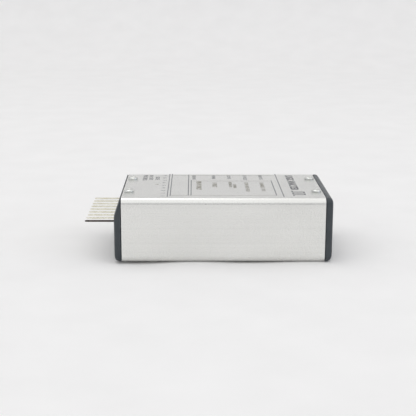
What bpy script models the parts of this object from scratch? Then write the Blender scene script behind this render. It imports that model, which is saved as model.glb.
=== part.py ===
"""Pocket logic analyzer: an extruded aluminium case closed by two screwed plastic end caps.

A row of square header pins leaves the left end, a small USB socket and a status light sit in
the right end, and one circuit board slides in grooves inside the case.

Frame: metres, +Z up. +X points to the USB end, -X to the pins and -Y is the long front face.
The origin is the centre of the case's flat underside.
"""

import math
from collections import namedtuple

import bmesh
import bpy
from mathutils import Matrix, Vector

MM = 0.001

# Case: a rounded rectangular tube, extruded along X.
CASE_LENGTH = 80.4 * MM
CASE_WIDTH = 50.5 * MM
CASE_HEIGHT = 25.8 * MM
CASE_WALL = 1.5 * MM
CASE_CORNER_RADIUS = 2.5 * MM
CASE_INNER_RADIUS = 0.8 * MM
GROOVE_RIB_THICKNESS = 1.0 * MM
GROOVE_RIB_DEPTH = 1.6 * MM

# End caps: a slab with the case's outline and two tongues that plug into the case.
CAP_THICKNESS = 2.5 * MM
CAP_CASE_GAP = 0.1 * MM
CAP_SIDE_RADIUS = 1.2 * MM
CAP_FOOT_RISE = 2.2 * MM
CAP_FOOT_SETBACK = 1.8 * MM
LEFT_CAP_BEVEL_DROP = 7.0 * MM
LEFT_CAP_BEVEL_SETBACK = 2.4 * MM
RIGHT_CAP_TOP_RADIUS = 1.8 * MM
TONGUE_DEPTH = 6.0 * MM
UPPER_TONGUE_HEIGHT = 4.6 * MM
LOWER_TONGUE_HEIGHT = 3.0 * MM
TONGUE_GAP = 0.3 * MM
TONGUE_ROOT = 1.0 * MM

# Cap screws: pan heads with a cross recess, through the case's top wall into the upper tongues.
SCREW_INSET = 2.8 * MM
SCREW_SPACING = 25.4 * MM
SCREW_HEAD_RADIUS = 2.05 * MM
SCREW_HEAD_HEIGHT = 1.1 * MM
SCREW_SHANK_RADIUS = 1.05 * MM
SCREW_SHANK_LENGTH = 5.6 * MM
SCREW_TIP_LENGTH = 0.9 * MM
SCREW_GAP = 0.25 * MM
SCREW_SEAT_GAP = 0.1 * MM
RECESS_DEPTH = 0.75 * MM
RECESS_SPAN = 2.3 * MM
RECESS_WIDTH = 0.5 * MM

# Probe header: right-angle square pins moulded into one insulator bar.
PIN_COUNT = 9
PIN_PITCH = 5.08 * MM
PIN_THICKNESS = 0.64 * MM
PIN_HEIGHT = 15.7 * MM
PIN_EXPOSED = 11.7 * MM
PIN_TAPER = 0.7 * MM
PIN_TAIL = 1.4 * MM
PIN_TAIL_BACK = 2.4 * MM
PIN_GAP = 0.12 * MM
HEADER_RISE = 2.5 * MM
HEADER_DEPTH = 3.4 * MM
HEADER_TOP = 1.4 * MM
HEADER_END = 1.3 * MM
HEADER_RECESS = 0.6 * MM

# Circuit board, held in the case's grooves.
BOARD_THICKNESS = 1.6 * MM
BOARD_END_GAP = 0.8 * MM
BOARD_EDGE_GAP = 0.4 * MM
BOARD_GROOVE_GAP = 0.15 * MM
SOLDER_GAP = 0.1 * MM
WINDOW_GAP = 0.3 * MM

# USB socket: a folded metal shell around a contact tongue.
USB_WIDTH = 7.7 * MM
USB_HEIGHT = 3.9 * MM
USB_DEPTH = 9.2 * MM
USB_WALL = 0.35 * MM
USB_CORNER = 0.9 * MM
USB_RECESS = 0.4 * MM
USB_CONTACT_WIDTH = 3.6 * MM
USB_CONTACT_REACH = 6.2 * MM
USB_CONTACT_THICKNESS = 0.8 * MM
USB_BLOCK_DEPTH = 2.2 * MM
USB_BLOCK_HEIGHT = 2.6 * MM

# Status light beside the socket: a round lamp in a right-angle holder.
LED_OFFSET = 10.5 * MM
LED_RADIUS = 1.5 * MM
LED_LENGTH = 7.0 * MM
LED_RECESS = 0.1 * MM
LED_HOLDER = (4.0 * MM, 4.6 * MM, 4.4 * MM)
LED_HOLDER_BACK = 4.6 * MM
LED_GAP = 0.15 * MM

# Board components. A package has gull-wing leads on the sides named by their directions about Z.
Package = namedtuple("Package", "length width height leads pitch lead_width reach sides")
BUFFER_PACKAGE = Package(4.4 * MM, 6.5 * MM, 1.0 * MM, 10, 0.65 * MM, 0.24 * MM, 1.0 * MM, (0, 180))
CAPTURE_PACKAGE = Package(12.0 * MM, 12.0 * MM, 1.4 * MM, 11, 1.0 * MM, 0.4 * MM, 1.0 * MM, (0, 90, 180, 270))
INTERFACE_PACKAGE = Package(5.3 * MM, 10.2 * MM, 1.75 * MM, 14, 0.65 * MM, 0.3 * MM, 1.1 * MM, (0, 180))
MEMORY_PACKAGE = Package(3.9 * MM, 4.9 * MM, 1.5 * MM, 4, 1.27 * MM, 0.42 * MM, 1.0 * MM, (0, 180))
REGULATOR_PACKAGE = Package(3.5 * MM, 6.5 * MM, 1.6 * MM, 3, 2.3 * MM, 0.7 * MM, 1.7 * MM, (0, 180))
PACKAGE_STAND = 0.08 * MM
LEAD_THICKNESS = 0.16 * MM
LEAD_ROOT = 0.3 * MM
LEAD_SHOULDER = 0.3
CHIP_CHAMFER = 0.12 * MM
RESISTOR_ARRAY = (1.6 * MM, 5.0 * MM, 0.6 * MM)
TANTALUM_CAPACITOR = (3.5 * MM, 2.8 * MM, 1.9 * MM)
FUSE = (3.2 * MM, 4.5 * MM, 1.0 * MM)
FERRITE_BEAD = (3.2 * MM, 1.6 * MM, 1.1 * MM)
CRYSTAL_LENGTH = 10.4 * MM
CRYSTAL_WIDTH = 4.4 * MM
CRYSTAL_HEIGHT = 3.2 * MM
CRYSTAL_RIM = 0.4 * MM
CRYSTAL_PLATE = 0.5 * MM

# Where the components stand: in from the board's left or right end, and across from its middle.
RESISTORS_FROM_LEFT = 11.0 * MM
RESISTOR_SPACING = 12.0 * MM
BUFFERS_FROM_LEFT = 19.0 * MM
BUFFER_SPACING = 16.0 * MM
CHIPS_FROM_RIGHT = 20.5 * MM
INTERFACE_ACROSS = -2.0 * MM
MEMORY_ACROSS = 12.5 * MM
SUPPLY_FROM_RIGHT = 13.0 * MM
SUPPLY_ACROSS = -14.0 * MM
CAPACITORS_FROM_RIGHT = (20.0 * MM, 26.5 * MM)
FUSE_FROM_RIGHT = 13.5 * MM
FUSE_ACROSS = 6.5 * MM
BEAD_ACROSS = -6.8 * MM
CRYSTAL_ACROSS = 14.0 * MM

CORNER_STEPS = 6
ROUND_STEPS = 24
SMOOTH_DEGREES = 35
SCREW_RIM_SHARE = 0.35

# Places that several pieces share.
HALF_LENGTH = CASE_LENGTH / 2
INNER_HALF_WIDTH = CASE_WIDTH / 2 - CASE_WALL
INNER_TOP = CASE_HEIGHT - CASE_WALL
BOARD_TOP = PIN_HEIGHT - HEADER_RISE
BOARD_BOTTOM = BOARD_TOP - BOARD_THICKNESS
BOARD_HALF_LENGTH = HALF_LENGTH - BOARD_END_GAP
BOARD_HALF_WIDTH = INNER_HALF_WIDTH - BOARD_EDGE_GAP
CAP_INNER_X = HALF_LENGTH + CAP_CASE_GAP
CAP_OUTER_X = CAP_INNER_X + CAP_THICKNESS
HEADER_OUTER_X = -(CAP_OUTER_X - HEADER_RECESS)
HEADER_INNER_X = HEADER_OUTER_X + HEADER_DEPTH
PIN_TAIL_X = HEADER_INNER_X + PIN_TAIL_BACK
USB_FRONT_X = CAP_OUTER_X - USB_RECESS
LED_TIP_X = CAP_OUTER_X - LED_RECESS
LED_HEIGHT = BOARD_TOP + SOLDER_GAP + LED_HOLDER[2] / 2


def clear_scene():
    """Removes whatever the scene holds before the model is made."""
    for obj in list(bpy.data.objects):
        bpy.data.objects.remove(obj, do_unlink=True)


def make_material(name, colour, roughness, metallic=0.0):
    """Returns a plain Principled material."""
    material = bpy.data.materials.new(name)
    material.use_nodes = True
    shader = material.node_tree.nodes["Principled BSDF"]
    shader.inputs["Base Color"].default_value = (*colour, 1.0)
    shader.inputs["Roughness"].default_value = roughness
    shader.inputs["Metallic"].default_value = metallic
    return material


def add_object(name, mesh, material, frame, round_shape=False):
    """Turns a bmesh into an object under the analyzer's empty, with its normals facing out."""
    bmesh.ops.recalc_face_normals(mesh, faces=mesh.faces)
    data = bpy.data.meshes.new(name)
    mesh.to_mesh(data)
    mesh.free()
    if round_shape:
        data.shade_smooth()
        data.set_sharp_from_angle(angle=math.radians(SMOOTH_DEGREES))
    if material:
        data.materials.append(material)
    obj = bpy.data.objects.new(name, data)
    obj.parent = frame
    bpy.context.collection.objects.link(obj)
    return obj


def combine(target, operation, tool):
    """Adds a Boolean with another object, which stays in the scene as a wire guide."""
    modifier = target.modifiers.new(f"{operation.lower()} {tool.name}", "BOOLEAN")
    modifier.operation = operation
    modifier.solver = "EXACT"
    modifier.object = tool
    tool.hide_render = True
    tool.display_type = "WIRE"


def rounded_rectangle(width, height, radius, middle=(0.0, 0.0)):
    """Outline of a rectangle with round corners, anticlockwise from its lower right corner."""
    points = []
    for quarter, (side_a, side_b) in enumerate(((1, -1), (1, 1), (-1, 1), (-1, -1))):
        for step in range(CORNER_STEPS + 1):
            angle = math.radians(90 * (quarter - 1 + step / CORNER_STEPS))
            across = middle[0] + side_a * (width / 2 - radius) + radius * math.cos(angle)
            along = middle[1] + side_b * (height / 2 - radius) + radius * math.sin(angle)
            points.append((across, along))
    return points


def quarter_arc(centre, radii, start_degrees, end_degrees):
    """Points of an elliptical arc between two angles."""
    points = []
    for step in range(CORNER_STEPS + 1):
        angle = math.radians(start_degrees + (end_degrees - start_degrees) * step / CORNER_STEPS)
        points.append((centre[0] + radii[0] * math.cos(angle), centre[1] + radii[1] * math.sin(angle)))
    return points


def prism(outline, axis, low, high):
    """Carries a flat outline along an axis from low to high, as one closed solid.

    The outline lies in YZ for axis X, in XZ for axis Y and in XY for axis Z.
    """
    order = {"X": (2, 0, 1), "Y": (0, 2, 1), "Z": (0, 1, 2)}[axis]
    mesh = bmesh.new()
    corners = []
    for first, second in outline:
        values = (first, second, low)
        corners.append(mesh.verts.new([values[index] for index in order]))
    face = mesh.faces.new(corners)
    grown = bmesh.ops.extrude_face_region(mesh, geom=[face])
    moved = [item for item in grown["geom"] if isinstance(item, bmesh.types.BMVert)]
    step = Vector([(0.0, 0.0, high - low)[index] for index in order])
    bmesh.ops.translate(mesh, verts=moved, vec=step)
    return mesh


def block(size, middle, chamfer=0.0):
    """A box of this size about its middle, with chamfered edges if a chamfer is given."""
    mesh = bmesh.new()
    bmesh.ops.create_cube(mesh, size=1.0)
    bmesh.ops.scale(mesh, verts=mesh.verts, vec=size)
    bmesh.ops.translate(mesh, verts=mesh.verts, vec=middle)
    if chamfer:
        bmesh.ops.bevel(mesh, geom=mesh.edges, offset=chamfer, segments=1, affect="EDGES")
    return mesh


def turned(profile, place):
    """Turns a profile of (radius, height) points about Z and moves it with a matrix.

    The profile runs from the axis at its top, down the outside, to the axis at its bottom.
    """
    mesh = bmesh.new()
    points = [mesh.verts.new((radius, 0.0, height)) for radius, height in profile]
    edges = [mesh.edges.new(pair) for pair in zip(points, points[1:])]
    bmesh.ops.spin(mesh, geom=points + edges, cent=(0, 0, 0), axis=(0, 0, 1),
                   angle=2 * math.pi, steps=ROUND_STEPS, use_merge=True)
    bmesh.ops.remove_doubles(mesh, verts=mesh.verts, dist=0.001 * MM)
    bmesh.ops.transform(mesh, matrix=place, verts=mesh.verts)
    return mesh


def cylinder_profile(radius, top, bottom):
    """Profile of a plain cylinder, for turned()."""
    return [(0.0, top), (radius, top), (radius, bottom), (0.0, bottom)]


def append_mesh(target, addition):
    """Copies one bmesh into another and frees it."""
    data = bpy.data.meshes.new("loose")
    addition.to_mesh(data)
    addition.free()
    target.from_mesh(data)
    bpy.data.meshes.remove(data)


def screw_places():
    """Returns each screw's number, end of the case (-1 left, 1 right) and place on the top face."""
    places = []
    for end in (-1, 1):
        for side in (-1, 1):
            place = (end * (HALF_LENGTH - SCREW_INSET), side * SCREW_SPACING / 2, CASE_HEIGHT)
            places.append((len(places) + 1, end, place))
    return places


def add_screw_holes(frame):
    """Makes the guide cylinders that cut each screw's hole, keyed by screw number."""
    holes = {}
    radius = SCREW_SHANK_RADIUS + SCREW_GAP
    depth = SCREW_SHANK_LENGTH + SCREW_GAP
    for number, _, (x, y, z) in screw_places():
        profile = cylinder_profile(radius, SCREW_HEAD_HEIGHT, -depth)
        mesh = turned(profile, Matrix.Translation((x, y, z)))
        holes[number] = add_object(f"screw_hole_{number}", mesh, None, frame)
    return holes


def inner_outline():
    """Outline of the case's hollow, with two ribs on each side wall that hold the board."""
    groove_low = BOARD_BOTTOM - BOARD_GROOVE_GAP
    groove_high = BOARD_TOP + BOARD_GROOVE_GAP
    wall = INNER_HALF_WIDTH
    tip = wall - GROOVE_RIB_DEPTH
    heights = (
        (wall, groove_low - GROOVE_RIB_THICKNESS),
        (tip, groove_low - GROOVE_RIB_THICKNESS),
        (tip, groove_low),
        (wall, groove_low),
        (wall, groove_high),
        (tip, groove_high),
        (tip, groove_high + GROOVE_RIB_THICKNESS),
        (wall, groove_high + GROOVE_RIB_THICKNESS),
    )
    middle = (0.0, (CASE_WALL + INNER_TOP) / 2)
    outline = rounded_rectangle(2 * wall, INNER_TOP - CASE_WALL, CASE_INNER_RADIUS, middle)
    corner = CORNER_STEPS + 1
    right = list(heights)
    left = [(-across, height) for across, height in reversed(heights)]
    return outline[:corner] + right + outline[corner:3 * corner] + left + outline[3 * corner:]


def add_case(frame, material, holes):
    """Extruded tube with board grooves and four screw holes in its top wall."""
    middle = (0.0, CASE_HEIGHT / 2)
    outline = rounded_rectangle(CASE_WIDTH, CASE_HEIGHT, CASE_CORNER_RADIUS, middle)
    case = add_object("extruded_case", prism(outline, "X", -HALF_LENGTH, HALF_LENGTH), material, frame)
    hollow = prism(inner_outline(), "X", -CASE_LENGTH, CASE_LENGTH)
    combine(case, "DIFFERENCE", add_object("case_hollow", hollow, None, frame))
    for hole in holes.values():
        combine(case, "DIFFERENCE", hole)


def cap_side_outline(end):
    """Outline in XZ of a cap's slab: its foot is rounded, and its top is bevelled or rounded."""
    inner = CAP_INNER_X
    outer = CAP_OUTER_X
    foot_centre = (outer - CAP_FOOT_SETBACK, CAP_FOOT_RISE)
    foot = quarter_arc(foot_centre, (CAP_FOOT_SETBACK, CAP_FOOT_RISE), -90, 0)
    if end < 0:
        top = [
            (outer, CASE_HEIGHT - LEFT_CAP_BEVEL_DROP),
            (outer - LEFT_CAP_BEVEL_SETBACK, CASE_HEIGHT),
        ]
    else:
        radius = RIGHT_CAP_TOP_RADIUS
        top = quarter_arc((outer - radius, CASE_HEIGHT - radius), (radius, radius), 0, 90)
    outline = [(inner, 0.0), *foot, *top, (inner, CASE_HEIGHT)]
    return [(end * x, z) for x, z in outline]


def cap_plan_outline(end):
    """Outline in XY of a cap's slab, with its two outer upright edges rounded."""
    radius = CAP_SIDE_RADIUS
    centre_x = CAP_OUTER_X - radius
    centre_y = CASE_WIDTH / 2 - radius
    front = quarter_arc((centre_x, -centre_y), (radius, radius), -90, 0)
    back = quarter_arc((centre_x, centre_y), (radius, radius), 0, 90)
    inner = CAP_INNER_X
    outline = [(inner, -CASE_WIDTH / 2), *front, *back, (inner, CASE_WIDTH / 2)]
    return [(end * x, y) for x, y in outline]


def add_tongue(name, end, low, high, frame):
    """A bar that plugs into the case and runs back into its cap's slab."""
    middle = (0.0, (low + high) / 2)
    width = 2 * (INNER_HALF_WIDTH - TONGUE_GAP)
    outline = rounded_rectangle(width, high - low, CASE_INNER_RADIUS, middle)
    tip = end * (HALF_LENGTH - TONGUE_DEPTH)
    root = end * (CAP_INNER_X + TONGUE_ROOT)
    return add_object(name, prism(outline, "X", min(tip, root), max(tip, root)), None, frame)


def add_cap(name, end, frame, material, holes):
    """A moulded end cap: slab, upper tongue with screw holes and lower tongue."""
    middle = (0.0, CASE_HEIGHT / 2)
    outline = rounded_rectangle(CASE_WIDTH, CASE_HEIGHT, CASE_CORNER_RADIUS, middle)
    inner, outer = sorted((end * CAP_INNER_X, end * CAP_OUTER_X))
    cap = add_object(name, prism(outline, "X", inner, outer), material, frame, round_shape=True)
    side = prism(cap_side_outline(end), "Y", -CASE_WIDTH, CASE_WIDTH)
    combine(cap, "INTERSECT", add_object(f"{name}_side_shape", side, None, frame))
    plan = prism(cap_plan_outline(end), "Z", -CASE_HEIGHT, 2 * CASE_HEIGHT)
    combine(cap, "INTERSECT", add_object(f"{name}_plan_shape", plan, None, frame))
    upper_high = INNER_TOP - TONGUE_GAP
    upper_low = upper_high - UPPER_TONGUE_HEIGHT
    lower_low = CASE_WALL + TONGUE_GAP
    lower_high = lower_low + LOWER_TONGUE_HEIGHT
    combine(cap, "UNION", add_tongue(f"{name}_upper_tongue", end, upper_low, upper_high, frame))
    combine(cap, "UNION", add_tongue(f"{name}_lower_tongue", end, lower_low, lower_high, frame))
    for number, screw_end, _ in screw_places():
        if screw_end == end:
            combine(cap, "DIFFERENCE", holes[number])
    return cap


def cut_window(cap, end, outline, frame):
    """Cuts an outline in YZ right through a cap's slab."""
    inner, outer = sorted((end * (HALF_LENGTH - TONGUE_DEPTH), end * (CAP_OUTER_X + CAP_THICKNESS)))
    tool = add_object(f"{cap.name}_window", prism(outline, "X", inner, outer), None, frame)
    combine(cap, "DIFFERENCE", tool)


def add_screws(frame, material):
    """Four pan-head screws, each with its origin on its own axis at the top face."""
    rim = SCREW_RIM_SHARE * SCREW_HEAD_HEIGHT
    dome = quarter_arc((0.0, rim), (SCREW_HEAD_RADIUS, SCREW_HEAD_HEIGHT - rim), 90, 0)
    shank_end = -(SCREW_SHANK_LENGTH - SCREW_TIP_LENGTH)
    profile = [
        *dome,
        (SCREW_HEAD_RADIUS, 0.0),
        (SCREW_SHANK_RADIUS, 0.0),
        (SCREW_SHANK_RADIUS, shank_end),
        (0.0, -SCREW_SHANK_LENGTH),
    ]
    top = SCREW_HEAD_HEIGHT
    depth = 2 * RECESS_DEPTH
    long_slot = (RECESS_SPAN, RECESS_WIDTH, depth)
    cross_slot = (RECESS_WIDTH, RECESS_SPAN, depth)
    for number, _, (x, y, z) in screw_places():
        seat = (x, y, z + SCREW_SEAT_GAP)
        name = f"cap_screw_{number}"
        screw = add_object(name, turned(profile, Matrix()), material, frame, round_shape=True)
        screw.location = seat
        for label, size in (("long", long_slot), ("cross", cross_slot)):
            slot = add_object(f"screw_{number}_{label}_slot", block(size, (0, 0, top)), None, frame)
            slot.location = seat
            combine(screw, "DIFFERENCE", slot)


def header_outline(clearance):
    """Outline in YZ of the header's insulator bar, grown by a clearance."""
    half = (PIN_COUNT - 1) / 2 * PIN_PITCH + HEADER_END + clearance
    low = BOARD_TOP + SOLDER_GAP - clearance
    high = PIN_HEIGHT + HEADER_TOP + clearance
    return [(-half, low), (half, low), (half, high), (-half, high)]


def pin_places():
    """Returns each pin's number and its place across the case, counted from the front."""
    middle = (PIN_COUNT + 1) / 2
    return [(number, (number - middle) * PIN_PITCH) for number in range(1, PIN_COUNT + 1)]


def add_header(frame, material):
    """The insulator bar, with a square hole for each pin."""
    solid = prism(header_outline(0.0), "X", HEADER_OUTER_X, HEADER_INNER_X)
    bar = add_object("header_insulator", solid, material, frame)
    side = PIN_THICKNESS + 2 * PIN_GAP
    size = (2 * HEADER_DEPTH, side, side)
    middle_x = (HEADER_OUTER_X + HEADER_INNER_X) / 2
    holes = bmesh.new()
    for _, y in pin_places():
        append_mesh(holes, block(size, (middle_x, y, PIN_HEIGHT)))
    combine(bar, "DIFFERENCE", add_object("header_pin_holes", holes, None, frame))


def add_pins(frame, material, dark_material):
    """Right-angle pins: an exposed leg along X, a bend and a tail through the board."""
    half = PIN_THICKNESS / 2
    tip = -(CAP_OUTER_X + PIN_EXPOSED)
    bottom = BOARD_BOTTOM - PIN_TAIL
    outline = [
        (tip, PIN_HEIGHT + half / 2),
        (tip, PIN_HEIGHT - half / 2),
        (tip + PIN_TAPER, PIN_HEIGHT - half),
        (PIN_TAIL_X - half, PIN_HEIGHT - half),
        (PIN_TAIL_X - half, bottom),
        (PIN_TAIL_X + half, bottom),
        (PIN_TAIL_X + half, PIN_HEIGHT),
        (PIN_TAIL_X, PIN_HEIGHT + half),
        (tip + PIN_TAPER, PIN_HEIGHT + half),
    ]
    for number, y in pin_places():
        finish = dark_material if number == 1 else material
        add_object(f"header_pin_{number}", prism(outline, "Y", y - half, y + half), finish, frame)


def add_board(frame, material):
    """The circuit board, with a hole for each pin's tail."""
    size = (2 * BOARD_HALF_LENGTH, 2 * BOARD_HALF_WIDTH, BOARD_THICKNESS)
    middle_height = (BOARD_TOP + BOARD_BOTTOM) / 2
    board = add_object("circuit_board", block(size, (0, 0, middle_height)), material, frame)
    radius = PIN_THICKNESS * math.sqrt(0.5) + PIN_GAP
    profile = cylinder_profile(radius, BOARD_THICKNESS, -BOARD_THICKNESS)
    holes = bmesh.new()
    for _, y in pin_places():
        append_mesh(holes, turned(profile, Matrix.Translation((PIN_TAIL_X, y, middle_height))))
    combine(board, "DIFFERENCE", add_object("board_pin_holes", holes, None, frame))


def usb_outline(clearance):
    """Outline in YZ of the socket's shell, with its lower corners cut, grown by a clearance."""
    half = USB_WIDTH / 2 + clearance
    low = BOARD_TOP + SOLDER_GAP - clearance
    high = BOARD_TOP + SOLDER_GAP + USB_HEIGHT + clearance
    cut = USB_CORNER
    right = [(half - cut, low), (half, low + cut), (half, high)]
    left = [(-across, height) for across, height in reversed(right)]
    return right + left


def add_usb_socket(frame, shell_material, plastic):
    """A folded shell, closed at its back, and the contact tongue inside it."""
    back = USB_FRONT_X - USB_DEPTH
    shell = add_object("usb_shell", prism(usb_outline(0.0), "X", back, USB_FRONT_X), shell_material, frame)
    hollow = prism(usb_outline(-USB_WALL), "X", back + USB_WALL, USB_FRONT_X + USB_DEPTH)
    combine(shell, "DIFFERENCE", add_object("usb_hollow", hollow, None, frame))
    start = back + USB_WALL + SOLDER_GAP
    block_end = start + USB_BLOCK_DEPTH
    end = start + USB_CONTACT_REACH
    middle = BOARD_TOP + SOLDER_GAP + USB_HEIGHT / 2
    block_half = USB_BLOCK_HEIGHT / 2
    tongue_half = USB_CONTACT_THICKNESS / 2
    outline = [
        (start, middle - block_half),
        (block_end, middle - block_half),
        (block_end, middle - tongue_half),
        (end, middle - tongue_half),
        (end, middle + tongue_half),
        (block_end, middle + tongue_half),
        (block_end, middle + block_half),
        (start, middle + block_half),
    ]
    half_width = USB_CONTACT_WIDTH / 2
    add_object("usb_contact_tongue", prism(outline, "Y", -half_width, half_width), plastic, frame)


def add_status_light(frame, holder_material, lamp_material, right_cap):
    """A round lamp that looks out of the right cap, in a holder on the board."""
    turn = Matrix.Translation((LED_TIP_X, LED_OFFSET, LED_HEIGHT)) @ Matrix.Rotation(math.pi / 2, 4, "Y")
    dome = quarter_arc((0.0, -LED_RADIUS), (LED_RADIUS, LED_RADIUS), 90, 0)
    lamp = turned([*dome, (LED_RADIUS, -LED_LENGTH), (0.0, -LED_LENGTH)], turn)
    add_object("status_lamp", lamp, lamp_material, frame, round_shape=True)
    reach = 2 * LED_LENGTH
    bore_mesh = turned(cylinder_profile(LED_RADIUS + LED_GAP, reach, -reach), turn)
    bore = add_object("lamp_bore", bore_mesh, None, frame)
    length = LED_HOLDER[0]
    middle = (CAP_INNER_X - LED_HOLDER_BACK + length / 2, LED_OFFSET, LED_HEIGHT)
    holder = add_object("lamp_holder", block(LED_HOLDER, middle, CHIP_CHAMFER), holder_material, frame)
    combine(holder, "DIFFERENCE", bore)
    combine(right_cap, "DIFFERENCE", bore)


def gull_wing(body_half, middle_height, package, along):
    """One lead, in XZ beyond +X: out of the package at mid height, down, and flat on its pad."""
    half = LEAD_THICKNESS / 2
    root = body_half - LEAD_ROOT
    shoulder = body_half + LEAD_SHOULDER * package.reach
    toe = body_half + package.reach
    outline = [
        (root, middle_height + half),
        (shoulder, middle_height + half),
        (shoulder + LEAD_THICKNESS, LEAD_THICKNESS),
        (toe, LEAD_THICKNESS),
        (toe, 0.0),
        (shoulder, 0.0),
        (shoulder - LEAD_THICKNESS, middle_height - half),
        (root, middle_height - half),
    ]
    return prism(outline, "Y", along - package.lead_width / 2, along + package.lead_width / 2)


def add_chip(name, place, package, frame, material):
    """A moulded package on the board, joined with its gull-wing leads."""
    bottom = BOARD_TOP + SOLDER_GAP
    lead_height = PACKAGE_STAND + package.height / 2
    size = (package.length, package.width, package.height)
    body = block(size, (*place, bottom + lead_height), CHIP_CHAMFER)
    chip = add_object(name, body, material, frame)
    comb = bmesh.new()
    for degrees in package.sides:
        body_half = (package.width if degrees % 180 else package.length) / 2
        turn = Matrix.Rotation(math.radians(degrees), 4, "Z")
        for index in range(package.leads):
            along = (index - (package.leads - 1) / 2) * package.pitch
            lead = gull_wing(body_half, lead_height, package, along)
            bmesh.ops.transform(lead, matrix=Matrix.Translation((*place, bottom)) @ turn, verts=lead.verts)
            append_mesh(comb, lead)
    combine(chip, "UNION", add_object(f"{name}_leads", comb, None, frame))


def add_small_part(name, place, size, frame, material):
    """A small moulded or ceramic part that lies on the board."""
    middle = (*place, BOARD_TOP + SOLDER_GAP + size[2] / 2)
    add_object(name, block(size, middle, CHIP_CHAMFER), material, frame)


def add_crystal(place, frame, material):
    """A low can with round ends on a slightly wider base plate."""
    bottom = BOARD_TOP + SOLDER_GAP
    base_width = CRYSTAL_WIDTH + CRYSTAL_RIM
    base_outline = rounded_rectangle(CRYSTAL_LENGTH + CRYSTAL_RIM, base_width, base_width / 2, place)
    base = prism(base_outline, "Z", bottom, bottom + CRYSTAL_PLATE)
    crystal = add_object("clock_crystal", base, material, frame)
    can_outline = rounded_rectangle(CRYSTAL_LENGTH, CRYSTAL_WIDTH, CRYSTAL_WIDTH / 2, place)
    can = prism(can_outline, "Z", bottom + CRYSTAL_PLATE / 2, bottom + CRYSTAL_HEIGHT)
    combine(crystal, "UNION", add_object("crystal_can", can, None, frame))


def spread(count, spacing):
    """Returns numbers from 1 with places this far apart, centred on the board's middle."""
    return [(index + 1, (index - (count - 1) / 2) * spacing) for index in range(count)]


def add_electronics(frame, black, metal, tan, ceramic):
    """Everything on the board, placed from its left end, its middle and its right end."""
    left = -BOARD_HALF_LENGTH
    right = BOARD_HALF_LENGTH
    chips_x = right - CHIPS_FROM_RIGHT
    for number, y in spread(3, RESISTOR_SPACING):
        place = (left + RESISTORS_FROM_LEFT, y)
        add_small_part(f"input_resistor_array_{number}", place, RESISTOR_ARRAY, frame, ceramic)
    for number, y in spread(2, BUFFER_SPACING):
        place = (left + BUFFERS_FROM_LEFT, y)
        add_chip(f"input_buffer_chip_{number}", place, BUFFER_PACKAGE, frame, black)
    add_chip("capture_chip", (0.0, 0.0), CAPTURE_PACKAGE, frame, black)
    add_chip("usb_interface_chip", (chips_x, INTERFACE_ACROSS), INTERFACE_PACKAGE, frame, black)
    add_chip("settings_memory_chip", (chips_x, MEMORY_ACROSS), MEMORY_PACKAGE, frame, black)
    regulator_place = (right - SUPPLY_FROM_RIGHT, SUPPLY_ACROSS)
    add_chip("voltage_regulator", regulator_place, REGULATOR_PACKAGE, frame, black)
    add_crystal((0.0, CRYSTAL_ACROSS), frame, metal)
    for number, from_right in enumerate(CAPACITORS_FROM_RIGHT, start=1):
        place = (right - from_right, SUPPLY_ACROSS)
        add_small_part(f"tantalum_capacitor_{number}", place, TANTALUM_CAPACITOR, frame, tan)
    add_small_part("usb_fuse", (right - FUSE_FROM_RIGHT, FUSE_ACROSS), FUSE, frame, black)
    add_small_part("ferrite_bead", (right - FUSE_FROM_RIGHT, BEAD_ACROSS), FERRITE_BEAD, frame, ceramic)


def build():
    """Builds the whole analyzer, under an empty at its frame's origin."""
    clear_scene()
    frame = bpy.data.objects.new("analyzer_frame", None)
    bpy.context.collection.objects.link(frame)
    aluminium = make_material("anodised_aluminium", (0.62, 0.62, 0.61), 0.38, 1.0)
    cap_plastic = make_material("black_abs", (0.05, 0.055, 0.058), 0.45)
    screw_steel = make_material("nickel_plated_steel", (0.66, 0.66, 0.63), 0.25, 1.0)
    pin_gold = make_material("pale_gold_plating", (0.72, 0.68, 0.56), 0.3, 1.0)
    pin_dark = make_material("tarnished_plating", (0.16, 0.14, 0.12), 0.45, 1.0)
    insulator = make_material("black_nylon", (0.02, 0.02, 0.022), 0.55)
    laminate = make_material("green_board", (0.02, 0.14, 0.06), 0.5)
    tin = make_material("tin_plate", (0.6, 0.6, 0.62), 0.3, 1.0)
    package = make_material("black_epoxy", (0.025, 0.025, 0.027), 0.6)
    tantalum = make_material("yellow_epoxy", (0.6, 0.36, 0.08), 0.5)
    ceramic = make_material("dark_ceramic", (0.12, 0.11, 0.11), 0.5)
    lamp = make_material("clear_green_epoxy", (0.25, 0.6, 0.3), 0.15)
    holes = add_screw_holes(frame)
    add_case(frame, aluminium, holes)
    left_cap = add_cap("left_end_cap", -1, frame, cap_plastic, holes)
    cut_window(left_cap, -1, header_outline(WINDOW_GAP), frame)
    right_cap = add_cap("right_end_cap", 1, frame, cap_plastic, holes)
    cut_window(right_cap, 1, usb_outline(WINDOW_GAP), frame)
    add_screws(frame, screw_steel)
    add_board(frame, laminate)
    add_header(frame, insulator)
    add_pins(frame, pin_gold, pin_dark)
    add_usb_socket(frame, tin, insulator)
    add_status_light(frame, insulator, lamp, right_cap)
    add_electronics(frame, package, tin, tantalum, ceramic)


build()
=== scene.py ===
"""Looks of a pocket logic analyzer: anodised case, moulded end caps, probe pins and socket.

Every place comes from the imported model. Metres, +Z up: the probe pins leave the -X end, the
socket sits in the +X end, and -Y is the long front face.
"""

import logging
import math
from collections.abc import Callable
from dataclasses import dataclass
from enum import Enum

import bmesh
import bpy
import numpy as np
from mathutils import Matrix, Vector


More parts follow.
